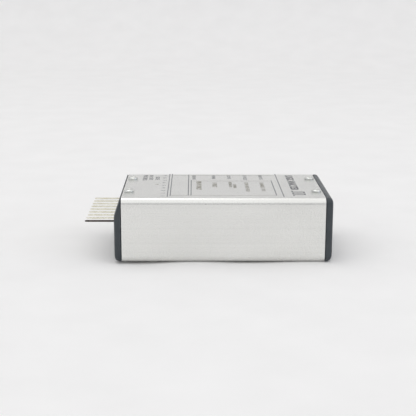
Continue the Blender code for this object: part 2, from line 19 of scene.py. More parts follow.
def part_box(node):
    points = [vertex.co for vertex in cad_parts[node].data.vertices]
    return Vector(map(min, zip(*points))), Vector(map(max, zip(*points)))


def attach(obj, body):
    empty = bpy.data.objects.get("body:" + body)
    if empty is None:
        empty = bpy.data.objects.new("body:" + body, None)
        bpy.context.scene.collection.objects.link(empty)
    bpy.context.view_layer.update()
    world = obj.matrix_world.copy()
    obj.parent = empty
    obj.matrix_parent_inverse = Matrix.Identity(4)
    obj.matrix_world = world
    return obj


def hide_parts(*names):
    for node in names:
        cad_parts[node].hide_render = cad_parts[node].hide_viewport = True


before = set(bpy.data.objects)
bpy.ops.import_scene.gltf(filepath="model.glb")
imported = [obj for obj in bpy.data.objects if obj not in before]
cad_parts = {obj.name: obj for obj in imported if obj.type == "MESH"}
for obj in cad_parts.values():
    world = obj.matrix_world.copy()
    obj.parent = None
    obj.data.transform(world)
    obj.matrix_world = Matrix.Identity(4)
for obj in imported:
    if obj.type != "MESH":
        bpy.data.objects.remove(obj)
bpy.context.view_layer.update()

MM = 0.001
X, Y, Z = range(3)
BODY = "case"
SCREWS = (1, 2, 3, 4)
ARC_STEPS = 12
CREASE_DEGREES = 28.0
log = logging.getLogger("logic_analyzer")


# ---------------------------------------------------------------- surfaces from numpy grids


class Closure(Enum):
    """How a grid surface closes: its last ring meets its first, or each end closes on its middle."""

    LOOP = "loop"
    ENDS = "ends"


class Carving(Enum):
    """What tool pieces do to a piece, as Blender's Boolean names it."""

    JOIN = "UNION"
    CUT = "DIFFERENCE"


class End(Enum):
    """The two ends of the case, by the sign of X."""

    PINS = -1
    SOCKET = 1


class Span:
    """Box of one of the frame's nodes: lowest and highest corners, middle and half sizes."""

    def __init__(self, node: str) -> None:
        """Reads the box.

        Args:
            node: name of the node.
        """
        self.low, self.high = (np.array(corner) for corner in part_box(node))
        self.middle = (self.low + self.high) / 2
        self.half = (self.high - self.low) / 2


def grid_faces(rings: int, points: int, looped: bool, wrapped: bool = True) -> np.ndarray:
    """Numbers of the four corners of every cell of a grid of points.

    Args:
        rings: rows of the grid.
        points: points in each row.
        looped: whether the last row joins the first.
        wrapped: whether the last point of a row joins its first.

    Returns:
        One row of four point numbers for each cell.
    """
    row = np.arange(rings if looped else rings - 1)[:, None]
    column = np.arange(points if wrapped else points - 1)[None, :]
    next_row = (row + 1) % rings
    next_column = (column + 1) % points
    corners = (
        row * points + column,
        row * points + next_column,
        next_row * points + next_column,
        next_row * points + column,
    )
    return np.stack(corners, axis=-1).reshape(-1, 4)


def write_mesh(name: str, points: np.ndarray, faces: list[np.ndarray]) -> bpy.types.Mesh:
    """Puts points and faces into a new mesh.

    Args:
        name: name of the mesh.
        points: one row of three coordinates for each point.
        faces: arrays of point numbers, each with as many columns as its faces have corners.

    Returns:
        The mesh.
    """
    mesh = bpy.data.meshes.new(name)
    loops = np.concatenate([block.ravel() for block in faces])
    sizes = np.concatenate([np.full(len(block), block.shape[1]) for block in faces])
    mesh.vertices.add(len(points))
    mesh.vertices.foreach_set("co", np.asarray(points, np.float32).ravel())
    mesh.loops.add(len(loops))
    mesh.loops.foreach_set("vertex_index", loops.astype(np.int32))
    mesh.polygons.add(len(sizes))
    mesh.polygons.foreach_set("loop_start", (np.cumsum(sizes) - sizes).astype(np.int32))
    mesh.update(calc_edges=True)
    mesh.validate()
    return mesh


def six_volumes(points: np.ndarray, faces: list[np.ndarray]) -> float:
    """Six times the volume inside faces: the sum of each triangle's a . (b x c), positive facing out.

    Args:
        points: one row of three coordinates for each point.
        faces: arrays of point numbers.

    Returns:
        The signed sum.
    """
    total = 0.0
    for block in faces:
        for last in range(2, block.shape[1]):
            a, b, c = points[block[:, 0]], points[block[:, last - 1]], points[block[:, last]]
            total += float(np.einsum("ij,ij->", a, np.cross(b, c)))
    return total


def stand(name: str, data: bpy.types.ID) -> bpy.types.Object:
    """Makes an object of some data, linked to the scene.

    Args:
        name: name of the object.
        data: its mesh, type, light or camera.

    Returns:
        The object.
    """
    piece = bpy.data.objects.new(name, data)
    bpy.context.scene.collection.objects.link(piece)
    return piece


def evaluated(piece: bpy.types.Object) -> bpy.types.Mesh:
    """Reads an object as its modifiers, or its type, leave it.

    Args:
        piece: the object.

    Returns:
        A new mesh.
    """
    bpy.context.view_layer.update()
    graph = bpy.context.evaluated_depsgraph_get()
    return bpy.data.meshes.new_from_object(piece.evaluated_get(graph))


class Shell:
    """Closed grid surfaces gathered into one piece."""

    def __init__(self, name: str) -> None:
        """Starts an empty piece.

        Args:
            name: name of the finished object.
        """
        self.name = name
        self.points: list[np.ndarray] = []
        self.faces: list[np.ndarray] = []
        self.count = 0

    def add(self, rings: np.ndarray, closure: Closure = Closure.ENDS) -> "Shell":
        """Adds one closed surface, turned so that its faces point outwards.

        Args:
            rings: points as ring, place along the ring, coordinate.
            closure: how the surface closes.

        Returns:
            The shell itself.
        """
        count, width, _ = rings.shape
        points = rings.reshape(-1, 3)
        faces = [grid_faces(count, width, closure is Closure.LOOP)]
        if closure is Closure.ENDS:
            middles = rings[[0, -1]].mean(axis=1)
            points = np.vstack((points, middles))
            step = np.arange(width)
            after = (step + 1) % width
            start = np.full(width, count * width)
            last_ring = (count - 1) * width
            faces.append(np.column_stack((start, after, step)))
            faces.append(np.column_stack((start + 1, last_ring + step, last_ring + after)))
        if six_volumes(points - points.mean(axis=0), faces) < 0:
            faces = [block[:, ::-1] for block in faces]
        self.points.append(points)
        self.faces.extend(block + self.count for block in faces)
        self.count += len(points)
        return self

    def link(self) -> bpy.types.Object:
        """Makes the object, linked to the scene, with nothing on it yet."""
        return stand(self.name, write_mesh(self.name, np.concatenate(self.points), self.faces))


def carve(target: bpy.types.Object, tools: list[bpy.types.Object], carving: Carving) -> None:
    """Joins tool pieces to a piece or cuts it with them, and takes the tools away.

    Args:
        target: the piece that is shaped.
        tools: closed pieces, used one after the other.
        carving: what they do.
    """
    for tool in tools:
        modifier = target.modifiers.new(tool.name, "BOOLEAN")
        modifier.operation = carving.value
        modifier.solver = "EXACT"
        modifier.object = tool
    shaped = evaluated(target)
    target.modifiers.clear()
    target.data = shaped
    for tool in tools:
        bpy.data.objects.remove(tool, do_unlink=True)


def complete(
    piece: bpy.types.Object,
    finish: "Finish",
    node: str | None = None,
    body: str = BODY,
    creased: bool = True,
) -> None:
    """Gives a new piece its finish and smooth shading, ties it to its body, and reports it.

    Args:
        piece: the object.
        finish: what it is made of.
        node: node of the frame that it stands for, if any.
        body: body that carries it.
        creased: whether flat faces beside fillets are kept flat, by normals weighted by area.
    """
    piece.data.materials.clear()
    piece.data.materials.append(finish.make())
    piece.data.shade_smooth()
    piece.data.set_sharp_from_angle(angle=math.radians(CREASE_DEGREES))
    if creased:
        flat = piece.modifiers.new("flat faces", "WEIGHTED_NORMAL")
        flat.keep_sharp = True
    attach(piece, body)
    if node:
        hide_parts(node)
    log.info("%s: %d faces on %s", piece.name, len(piece.data.polygons), body)


def rounded_outline(half: np.ndarray, radius: float, middle: np.ndarray = np.zeros(2)) -> np.ndarray:
    """Rectangle with round corners: each corner's centre plus radius times (cos, sin) of a quarter turn.

    Args:
        half: half its width and half its height.
        radius: radius of its corners.
        middle: its middle.

    Returns:
        Points anticlockwise from the start of the lower right corner.
    """
    starts = np.array([-90.0, 0.0, 90.0, 180.0])
    angles = np.radians(starts[:, None] + np.linspace(0.0, 90.0, ARC_STEPS + 1))
    signs = np.array([(1, -1), (1, 1), (-1, 1), (-1, -1)])
    centres = np.array(middle) + signs * (np.array(half) - radius)
    arcs = radius * np.stack((np.cos(angles), np.sin(angles)), axis=-1)
    return (centres[:, None, :] + arcs).reshape(-1, 2)


def soft_polygon(corners: np.ndarray, reach: float, steps: int = 4) -> np.ndarray:
    """Polygon whose corners are parabolas: (1-s)^2 A + 2s(1-s) corner + s^2 B, A and B a reach away.

    Args:
        corners: one row of two coordinates for each corner, anticlockwise.
        reach: how far along each side a corner's rounding starts.
        steps: pieces of each rounding.

    Returns:
        The outline's points.
    """
    before = np.roll(corners, 1, axis=0) - corners
    after = np.roll(corners, -1, axis=0) - corners
    before *= reach / np.linalg.norm(before, axis=1, keepdims=True)
    after *= reach / np.linalg.norm(after, axis=1, keepdims=True)
    s = np.linspace(0.0, 1.0, steps + 1)[None, :, None]
    start = (corners + before)[:, None, :]
    end = (corners + after)[:, None, :]
    bent = (1 - s) ** 2 * start + 2 * s * (1 - s) * corners[:, None, :] + s**2 * end
    return bent.reshape(-1, 2)


def along(axis: int, stations: list[tuple[float, np.ndarray]]) -> np.ndarray:
    """Rings from flat outlines, each set at its own place along an axis.

    Args:
        axis: the axis; an outline's two coordinates are those of the other axes, in their order.
        stations: place and outline of each ring.

    Returns:
        Points as ring, place along the ring, coordinate.
    """
    return np.stack([np.insert(outline, axis, place, axis=1) for place, outline in stations])


def turned(profile: list[tuple[float, float]], steps: int) -> np.ndarray:
    """Surface of revolution about Z: (r cos t, r sin t, z) for each point of the profile.

    Args:
        profile: radius and height of each ring.
        steps: points round the axis.

    Returns:
        Points as ring, place along the ring, coordinate.
    """
    radius, height = np.array(profile, float).T[:, :, None]
    turn = np.linspace(0.0, 2 * math.pi, steps, endpoint=False)[None, :]
    return np.stack((radius * np.cos(turn), radius * np.sin(turn), height + 0 * turn), axis=-1)


def pillow(low: np.ndarray, high: np.ndarray, edge: float) -> np.ndarray:
    """Block with rounded upright edges and broken top and bottom edges, as rings stacked along Z.

    Args:
        low: its lowest corner.
        high: its highest corner.
        edge: radius of the upright edges, and how far the other edges are broken.

    Returns:
        Points as ring, place along the ring, coordinate.
    """
    middle = (low + high)[:Z] / 2
    half = (high - low)[:Z] / 2
    levels = ((edge, 0.0), (edge * 0.3, edge * 0.3), (0.0, edge))
    stations = [(low[Z] + rise, rounded_outline(half - inset, edge, middle)) for inset, rise in levels]
    for inset, rise in reversed(levels):
        stations.append((high[Z] - rise, rounded_outline(half - inset, edge, middle)))
    return along(Z, stations)


# ---------------------------------------------------------------- finishes


def linear(code: str) -> tuple[float, float, float, float]:
    """Turns an sRGB hex colour into linear light.

    Args:
        code: six hex digits after a hash.

    Returns:
        Red, green, blue and alpha.
    """
    shares = np.array([int(code[i : i + 2], 16) for i in (1, 3, 5)]) / 255.0
    light = np.where(shares <= 0.04045, shares / 12.92, ((shares + 0.055) / 1.055) ** 2.4)
    return (*(float(value) for value in light), 1.0)


def cube(size: float) -> tuple[float, float, float]:
    """The same size along X, Y and Z."""
    return (size, size, size)


class Nodes:
    """The shader nodes of a material or a world."""

    def __init__(self, tree: bpy.types.NodeTree) -> None:
        """Starts on a tree.

        Args:
            tree: where the nodes go.
        """
        self.tree = tree

    def add(self, kind: str, inputs: dict | None = None, **settings) -> bpy.types.Node:
        """Adds one shader node with its settings and links.

        Args:
            kind: Blender's name of the node, after "ShaderNode".
            inputs: for each input, by name or number, its value or the output that feeds it.
            settings: the node's own properties.

        Returns:
            The node.
        """
        node = self.tree.nodes.new("ShaderNode" + kind)
        for name, value in settings.items():
            setattr(node, name, value)
        for key, value in (inputs or {}).items():
            if isinstance(value, bpy.types.NodeSocket):
                self.tree.links.new(value, node.inputs[key])
            else:
                node.inputs[key].default_value = value
        return node


class Skin(Nodes):
    """A material's nodes, with the ways that a finish works its surface."""

    def __init__(self, tree: bpy.types.NodeTree) -> None:
        """Starts on a material's tree.

        Args:
            tree: the material's nodes.
        """
        super().__init__(tree)
        self.inputs = tree.nodes["Principled BSDF"].inputs

    def feed(self, name: str, output: bpy.types.NodeSocket) -> None:
        """Links an output to one of the shader's inputs, in place of any other."""
        self.tree.links.new(output, self.inputs[name])

    def place(self) -> bpy.types.NodeSocket:
        """The Object coordinates."""
        return self.add("TexCoord").outputs["Object"]

    def grain(self, size: tuple[float, float, float], detail: float = 2.0) -> bpy.types.NodeSocket:
        """Noise whose grains have this size along X, Y and Z, on Object coordinates.

        Args:
            size: size of a grain in metres along each axis.
            detail: octaves of finer noise on top.

        Returns:
            The noise's output, from 0 to 1.
        """
        stretch = {"Vector": self.place(), "Scale": tuple(1.0 / length for length in size)}
        stretched = self.add("Mapping", stretch).outputs["Vector"]
        noise = {"Vector": stretched, "Scale": 1.0, "Detail": detail}
        return self.add("TexNoise", noise).outputs["Fac"]

    def average(self, one: bpy.types.NodeSocket, other: bpy.types.NodeSocket) -> bpy.types.NodeSocket:
        """Half the sum of two patterns."""
        both = self.add("Math", {0: one, 1: other}, operation="ADD").outputs[0]
        return self.add("Math", {0: both, 1: 0.5}, operation="MULTIPLY").outputs[0]

    def tint(
        self, pattern: bpy.types.NodeSocket, low: str, high: str, span: tuple[float, float] = (0.3, 0.7)
    ) -> None:
        """Runs the base colour from one colour to another with a pattern.

        Args:
            pattern: the pattern.
            low: colour where the pattern is low.
            high: colour where it is high.
            span: values of the pattern at which the two colours are reached.
        """
        spread = {"Value": pattern, "From Min": span[0], "From Max": span[1]}
        share = self.add("MapRange", spread).outputs["Result"]
        mix = {"Factor": share, 6: linear(low), 7: linear(high)}
        self.feed("Base Color", self.add("Mix", mix, data_type="RGBA").outputs[2])

    def cover(self, mask: bpy.types.NodeSocket, colour: str) -> None:
        """Lays another colour over the base colour.

        Args:
            mask: where it goes, 1 for the new colour and 0 for what is there.
            colour: the new colour.
        """
        under = self.inputs["Base Color"].links[0].from_socket
        mix = {"Factor": mask, 6: under, 7: linear(colour)}
        self.feed("Base Color", self.add("Mix", mix, data_type="RGBA").outputs[2])

    def polish(self, pattern: bpy.types.NodeSocket, low: float, high: float) -> None:
        """Runs the roughness from one value to another with a pattern.

        Args:
            pattern: the pattern.
            low: roughness where the pattern is 0.3 or less.
            high: roughness where it is 0.7 or more.
        """
        spread = {"Value": pattern, "From Min": 0.3, "From Max": 0.7, "To Min": low, "To Max": high}
        self.feed("Roughness", self.add("MapRange", spread).outputs["Result"])

    def relief(self, pattern: bpy.types.NodeSocket, depth: float, strength: float = 1.0) -> None:
        """Presses a pattern into the surface, on top of any relief already there.

        Args:
            pattern: the pattern.
            depth: its depth in metres.
            strength: how much of it shows.
        """
        inputs = {"Height": pattern, "Distance": depth, "Strength": strength}
        if self.inputs["Normal"].links:
            inputs["Normal"] = self.inputs["Normal"].links[0].from_socket
        self.feed("Normal", self.add("Bump", inputs).outputs["Normal"])


@dataclass(frozen=True)
class Finish:
    """A surface: its material's name, colour, roughness and whether it is bare metal."""

    name: str
    colour: str
    roughness: float
    metallic: float = 0.0

    def make(self) -> bpy.types.Material:
        """Makes the material, or finds the one already made.

        Returns:
            The material.
        """
        known = bpy.data.materials.get(self.name)
        if known:
            return known
        material = bpy.data.materials.new(self.name)
        material.use_nodes = True
        skin = Skin(material.node_tree)
        skin.inputs["Base Color"].default_value = linear(self.colour)
        skin.inputs["Roughness"].default_value = self.roughness
        skin.inputs["Metallic"].default_value = self.metallic
        self.detail(skin)
        return material

    def detail(self, skin: Skin) -> None:
        """Adds the surface's pattern. Each kind of surface has its own."""
        raise NotImplementedError


@dataclass(frozen=True)
class AnodisedAluminium(Finish):
    """Extruded 6063 aluminium, etched matt and clear anodised.

    The eye gets a soft satin sheen, faint lines along the extrusion and bright bare metal where
    the saw and the file broke the cut ends.
    """

    shade: str = "#E6E6E3"
    bare_colour: str = "#F4F5F7"
    bare_roughness: float = 0.22
    bare_reach: float = 0.33 * MM

    def detail(self, skin: Skin) -> None:
        """Adds die lines 0.5 mm apart (real ones are finer), etch speckle and the bare cut ends."""
        lines = skin.grain((260 * MM, 0.5 * MM, 0.5 * MM), 1.0)
        speckle = skin.grain(cube(0.35 * MM))
        cloud = skin.grain((30 * MM, 14 * MM, 14 * MM), 1.0)
        skin.tint(skin.average(lines, cloud), self.shade, self.colour)
        x = skin.add("SeparateXYZ", {0: skin.place()}).outputs["X"]
        out = skin.add("Math", {0: x}, operation="ABSOLUTE").outputs[0]
        bare_from = Span("extruded_case").high[X] - self.bare_reach
        cut = skin.add("Math", {0: out, 1: float(bare_from)}, operation="GREATER_THAN").outputs[0]
        skin.cover(cut, self.bare_colour)
        skin.polish(speckle, self.roughness - 0.04, self.roughness + 0.04)
        matt = skin.inputs["Roughness"].links[0].from_socket
        skin.feed("Roughness", skin.add("Mix", {"Factor": cut, 2: matt, 3: self.bare_roughness}).outputs[0])
        for pattern in (lines, speckle):
            skin.relief(pattern, 0.004 * MM, 0.15)


@dataclass(frozen=True)
class MouldedAbs(Finish):
    """Injection-moulded black ABS with a fine spark-eroded texture.

    The eye gets a dark satin surface with a tight even grain and worn, slightly shinier spots.
    """

    worn: str = "#3A4045"

    def detail(self, skin: Skin) -> None:
        """Adds the eroded grain, drawn at 0.3 mm (the real one is about 0.1), and handling marks."""
        grain = skin.grain(cube(0.3 * MM), 3.0)
        marks = skin.grain(cube(6 * MM))
        skin.tint(marks, self.colour, self.worn)
        skin.polish(marks, self.roughness - 0.05, self.roughness + 0.06)
        skin.relief(grain, 0.012 * MM, 0.6)
        skin.inputs["Specular IOR Level"].default_value = 0.55


@dataclass(frozen=True)
class PlatedMetal(Finish):
    """Plated metal: nickel on a cold-headed screw, gold on drawn wire, tin on a stamped shell.

    The eye gets a bright skin with soft streaks along the way that the metal was worked.
    """

    streak: tuple[float, float, float] = cube(0.4 * MM)
    shade: str = "#B0B0A8"

    def detail(self, skin: Skin) -> None:
        """Adds streaks of the given size in polish and relief, and blotches of 1.5 mm in colour."""
        streaks = skin.grain(self.streak)
        skin.tint(skin.grain(cube(1.5 * MM)), self.shade, self.colour)
        skin.polish(streaks, self.roughness - 0.05, self.roughness + 0.09)
        skin.relief(streaks, 0.004 * MM, 0.5)


@dataclass(frozen=True)
class MouldedNylon(Finish):
    """Glass-filled black nylon, as connector makers mould it.

    The eye gets a dull black with pale flecks where fibres reach the skin.
    """

    fleck: str = "#3A3B3D"

    def detail(self, skin: Skin) -> None:
        """Adds fibres 0.6 mm long, coarser than real ones, and a rough skin."""
        fibres = skin.grain((0.12 * MM, 0.6 * MM, 0.12 * MM), 3.0)
        skin.tint(fibres, self.colour, self.fleck, (0.55, 0.8))
        skin.polish(fibres, self.roughness, self.roughness + 0.12)
        skin.relief(fibres, 0.01 * MM, 0.5)


@dataclass(frozen=True)
class PrintedInk(Finish):
    """Screen-printed ink, baked on the anodising.

    The eye gets a flat matt tone whose coverage varies a little with the printing mesh.
    """

    thin: str = "#A9A9AC"

    def detail(self, skin: Skin) -> None:
        """Adds the mesh's weave at 0.25 mm and a slow change in coverage."""
        weave = skin.grain(cube(0.25 * MM), 1.0)
        coverage = skin.grain((5 * MM, 3 * MM, 5 * MM))
        skin.tint(skin.average(weave, coverage), self.colour, self.thin, (0.4, 0.75))
        skin.polish(weave, self.roughness - 0.08, self.roughness)


@dataclass(frozen=True)
class LampEpoxy(Finish):
    """Cast epoxy tinted green.

    The eye gets a clear glossy dome with a milky haze.
    """

    haze: str = "#B9E2C2"

    def detail(self, skin: Skin) -> None:
        """Adds a slow haze in the tint and lets some light through."""
        skin.tint(skin.grain(cube(1.2 * MM)), self.colour, self.haze)
        skin.inputs["Transmission Weight"].default_value = 0.35
        skin.inputs["IOR"].default_value = 1.54
        skin.inputs["Coat Weight"].default_value = 0.3


@dataclass(frozen=True)
class BoardLaminate(Finish):
    """Glass-epoxy board under green solder resist.

    The eye gets glossy green with raised copper tracks, bare tinned rings round the pin holes and
    pale fibre along the sawn edges.
    """

    pin_x: float = 0.0
    pitch: float = 5.08 * MM
    track: str = "#2C7A4B"
    tin: str = "#C9CACB"
    fibre: str = "#B9B07C"

    def detail(self, skin: Skin) -> None:
        """Adds wandering tracks 0.9 mm wide every 2.4 mm, rings of 0.9 mm radius and pale edges."""
        wander = skin.grain(cube(9 * MM), 0.0)
        bend = skin.add("Math", {0: wander, 1: 6 * MM}, operation="MULTIPLY").outputs[0]
        split = skin.add("SeparateXYZ", {0: skin.place()}).outputs
        lane = skin.add("Math", {0: split["Y"], 1: bend}, operation="ADD").outputs[0]
        cycle = skin.add("Math", {0: lane, 1: 1.2 * MM}, operation="PINGPONG").outputs[0]
        track = skin.add("Math", {0: cycle, 1: 0.45 * MM}, operation="LESS_THAN").outputs[0]
        skin.tint(track, self.colour, self.track, (0.0, 1.0))
        across = skin.add("Math", {0: split["Y"], 1: self.pitch / 2}, operation="PINGPONG").outputs[0]
        beside = skin.add("Math", {0: split["X"], 1: self.pin_x}, operation="SUBTRACT").outputs[0]
        flat = skin.add("CombineXYZ", {"X": beside, "Y": across}).outputs[0]
        away = skin.add("VectorMath", {0: flat}, operation="LENGTH").outputs["Value"]
        ring = skin.add("Math", {0: away, 1: 0.9 * MM}, operation="LESS_THAN").outputs[0]
        skin.cover(ring, self.tin)
        normal = skin.add("NewGeometry").outputs["Normal"]
        upright = skin.add("SeparateXYZ", {0: normal}).outputs["Z"]
        lying = skin.add("Math", {0: upright}, operation="ABSOLUTE").outputs[0]
        sawn = skin.add("Math", {0: lying, 1: 0.5}, operation="LESS_THAN").outputs[0]
        skin.cover(sawn, self.fibre)
        skin.relief(track, 0.03 * MM)


@dataclass(frozen=True)
class MouldedPackage(Finish):
    """Transfer-moulded epoxy package, or a fired ceramic part, with tinned ends or leads.

    The eye gets a dull sanded body, a small moulded dot by its first lead, and bright tin
    wherever metal leaves the body.
    """

    middle: tuple[float, float] = (0.0, 0.0)
    body_half: tuple[float, float] = (1 * MM, 1 * MM)
    fleck: str = "#3B3B3D"
    dot: float = 0.35 * MM
    dot_inset: float = 0.35 * MM
    dot_colour: str = "#6E6E70"
    tin: str = "#CFD0D2"
    tin_roughness: float = 0.28

    def detail(self, skin: Skin) -> None:
        """Adds the sanded skin, the dot, and tin outside the body's half sizes."""
        sand = skin.grain(cube(0.15 * MM), 3.0)
        skin.tint(sand, self.colour, self.fleck, (0.4, 0.8))
        centre = {0: skin.place(), 1: (*self.middle, 0.0)}
        local = skin.add("VectorMath", centre, operation="SUBTRACT").outputs["Vector"]
        corner = tuple(self.dot_inset + self.dot - half for half in self.body_half)
        spot = {0: local, 1: (corner[X], -corner[Y], 0.0)}
        to_dot = skin.add("VectorMath", spot, operation="SUBTRACT").outputs["Vector"]
        flat = {0: to_dot, 1: (1.0, 1.0, 0.0)}
        level = skin.add("VectorMath", flat, operation="MULTIPLY").outputs["Vector"]
        away = skin.add("VectorMath", {0: level}, operation="LENGTH").outputs["Value"]
        inside = skin.add("Math", {0: away, 1: self.dot}, operation="LESS_THAN").outputs[0]
        skin.cover(inside, self.dot_colour)
        size = skin.add("VectorMath", {0: local}, operation="ABSOLUTE").outputs["Vector"]
        over = {0: size, 1: (*self.body_half, 1.0)}
        past = skin.add("VectorMath", over, operation="SUBTRACT").outputs["Vector"]
        split = skin.add("SeparateXYZ", {0: past}).outputs
        most = skin.add("Math", {0: split["X"], 1: split["Y"]}, operation="MAXIMUM").outputs[0]
        metal = skin.add("Math", {0: most, 1: 0.0}, operation="GREATER_THAN").outputs[0]
        skin.cover(metal, self.tin)
        skin.feed("Metallic", metal)
        shine = {"Factor": metal, 2: self.roughness, 3: self.tin_roughness}
        skin.feed("Roughness", skin.add("Mix", shine).outputs[0])
        skin.relief(sand, 0.01 * MM, 0.5)


@dataclass(frozen=True)
class MattPaper(Finish):
    """Uncoated studio paper, lightly calendered.

    The eye gets an even pale ground with the faintest cloud of fibre.
    """

    cloud: str = "#F9F8F7"

    def detail(self, skin: Skin) -> None:
        """Adds fibre clouds of 25 mm and a fine tooth of 1 mm."""
        skin.tint(skin.grain(cube(25 * MM), 3.0), self.colour, self.cloud)
        skin.relief(skin.grain(cube(1 * MM)), 0.02 * MM, 0.2)
        skin.inputs["Specular IOR Level"].default_value = 0.2


DRAWN = (4 * MM, 0.15 * MM, 0.15 * MM)
STAMPED = (3 * MM, 0.2 * MM, 0.2 * MM)
FINE_STAMPED = (2 * MM, 0.1 * MM, 0.1 * MM)
ALUMINIUM = AnodisedAluminium("clear anodised extruded aluminium", "#EDEDEA", 0.29, 1.0)
CAP_ABS = MouldedAbs("spark-eroded moulded black ABS", "#30373C", 0.36)
SCREW_NICKEL = PlatedMetal("nickel-plated cold-headed steel", "#F0F1EE", 0.24, 1.0, shade="#DBDDD8")
PIN_GOLD = PlatedMetal("pale gold plated drawn brass wire", "#F1EFE4", 0.22, 1.0, DRAWN, "#DEDAC6")
# Painted dark reflection: the front pin's dark brown-grey colour stands in for the darker surroundings that
# its face mirrors, not for a different plating.
PIN_PAINTED_DARK_REFLECTION = PlatedMetal("painted dark reflection on drawn brass wire", "#5A5048", 0.4, 1.0, DRAWN, "#3A332E")
TIN = PlatedMetal("tin-plated stamped steel", "#D5D6D8", 0.27, 1.0, STAMPED, "#B9BABD")
CONTACT_GOLD = PlatedMetal("gold plated stamped contact", "#E8C878", 0.25, 1.0, FINE_STAMPED, "#D9B45E")
NYLON = MouldedNylon("glass-filled moulded black nylon", "#1A1B1D", 0.5)
GREY_INK = PrintedInk("screen-printed grey ink", "#78787B", 0.6, thin="#96969A")
DARK_INK = PrintedInk("screen-printed dark grey ink", "#66666A", 0.6, thin="#838386")
WARM_INK = PrintedInk("screen-printed warm grey ink", "#8C877B", 0.6, thin="#ABA79C")
LAMP = LampEpoxy("cast green tinted epoxy", "#8FCB9E", 0.12)
PAPER = MattPaper("uncoated matt studio paper", "#F6F5F4", 0.9)


# ---------------------------------------------------------------- the case


@dataclass
class Case:
    """Extruded tube with board grooves, broken cut edges and four screw holes."""

    wall: float = 1.5 * MM
    corner: float = 2.5 * MM
    inner_corner: float = 0.8 * MM
    edge_break: float = 0.35 * MM
    inner_break: float = 0.12 * MM
    rib_depth: float = 1.6 * MM
    rib_thickness: float = 1.0 * MM
    rib_draft: float = 0.08 * MM
    board_play: float = 0.15 * MM

    def __post_init__(self) -> None:
        """Takes the case's overall sizes and the board's height from the frame."""
        self.half_length, self.half_width, self.height = Span("extruded_case").high
        board = Span("circuit_board")
        self.groove = (board.low[Z] - self.board_play, board.high[Z] + self.board_play)

    def rib_heights(self) -> np.ndarray:
        """Heights of the ribs' eight corners on a side wall, from the lowest up."""
        climb = np.array([0.0, self.rib_draft, self.rib_thickness - self.rib_draft, self.rib_thickness])
        return np.concatenate((self.groove[0] - self.rib_thickness + climb, self.groove[1] + climb))

    def outline(self, inset: float, radius: float, ribs: float) -> np.ndarray:
        """Rounded rectangle in YZ with eight more points on each side wall, where ribs can stand.

        Args:
            inset: how far it lies inside the case's outside.
            radius: radius of its corners.
            ribs: how far the ribs stand in from the wall.

        Returns:
            The outline's points, anticlockwise.
        """
        half = np.array([self.half_width, self.height / 2]) - inset
        corners = rounded_outline(half, radius, (0.0, self.height / 2))
        corners = corners.reshape(4, ARC_STEPS + 1, 2)
        across = half[0] - ribs * np.array([0, 1, 1, 0, 0, 1, 1, 0])
        right = np.column_stack((across, self.rib_heights()))
        left = right[::-1] * (-1.0, 1.0)
        return np.concatenate((corners[0], right, corners[1], corners[2], left, corners[3]))

    def outer(self, inset: float) -> np.ndarray:
        """The outer outline, taken in all round by an inset."""
        return self.outline(inset, self.corner - inset, 0.0)

    def inner(self, growth: float) -> np.ndarray:
        """The hollow's outline, grown all round by a little."""
        return self.outline(self.wall - growth, self.inner_corner + growth, self.rib_depth)

    def build(self) -> None:
        """Carries the two outlines round the wall: out along the outside, back along the hollow."""
        end, edge, lip = self.half_length, self.edge_break, self.inner_break
        cycle = [
            (-end + edge, self.outer(0.0)),
            (end - edge, self.outer(0.0)),
            (end, self.outer(edge)),
            (end, self.inner(lip)),
            (end - lip, self.inner(0.0)),
            (-end + lip, self.inner(0.0)),
            (-end, self.inner(lip)),
            (-end, self.outer(edge)),
        ]
        case = Shell("anodised_case").add(along(X, cycle), Closure.LOOP).link()
        carve(case, [screw_hole(number) for number in SCREWS], Carving.CUT)
        complete(case, ALUMINIUM, "extruded_case")


def screw_hole(number: int, radius: float = 1.3 * MM) -> bpy.types.Object:
    """A round tool along a screw's axis, a little longer than its shank.

    Args:
        number: the screw.
        radius: radius of the hole.

    Returns:
        The tool.
    """
    screw = Span(f"cap_screw_{number}")
    profile = [(radius, screw.high[Z]), (radius, screw.low[Z] - radius / 4)]
    return Shell(f"hole_{number}").add(turned(profile, 32) + (*screw.middle[:Z], 0.0)).link()


# ---------------------------------------------------------------- the end caps


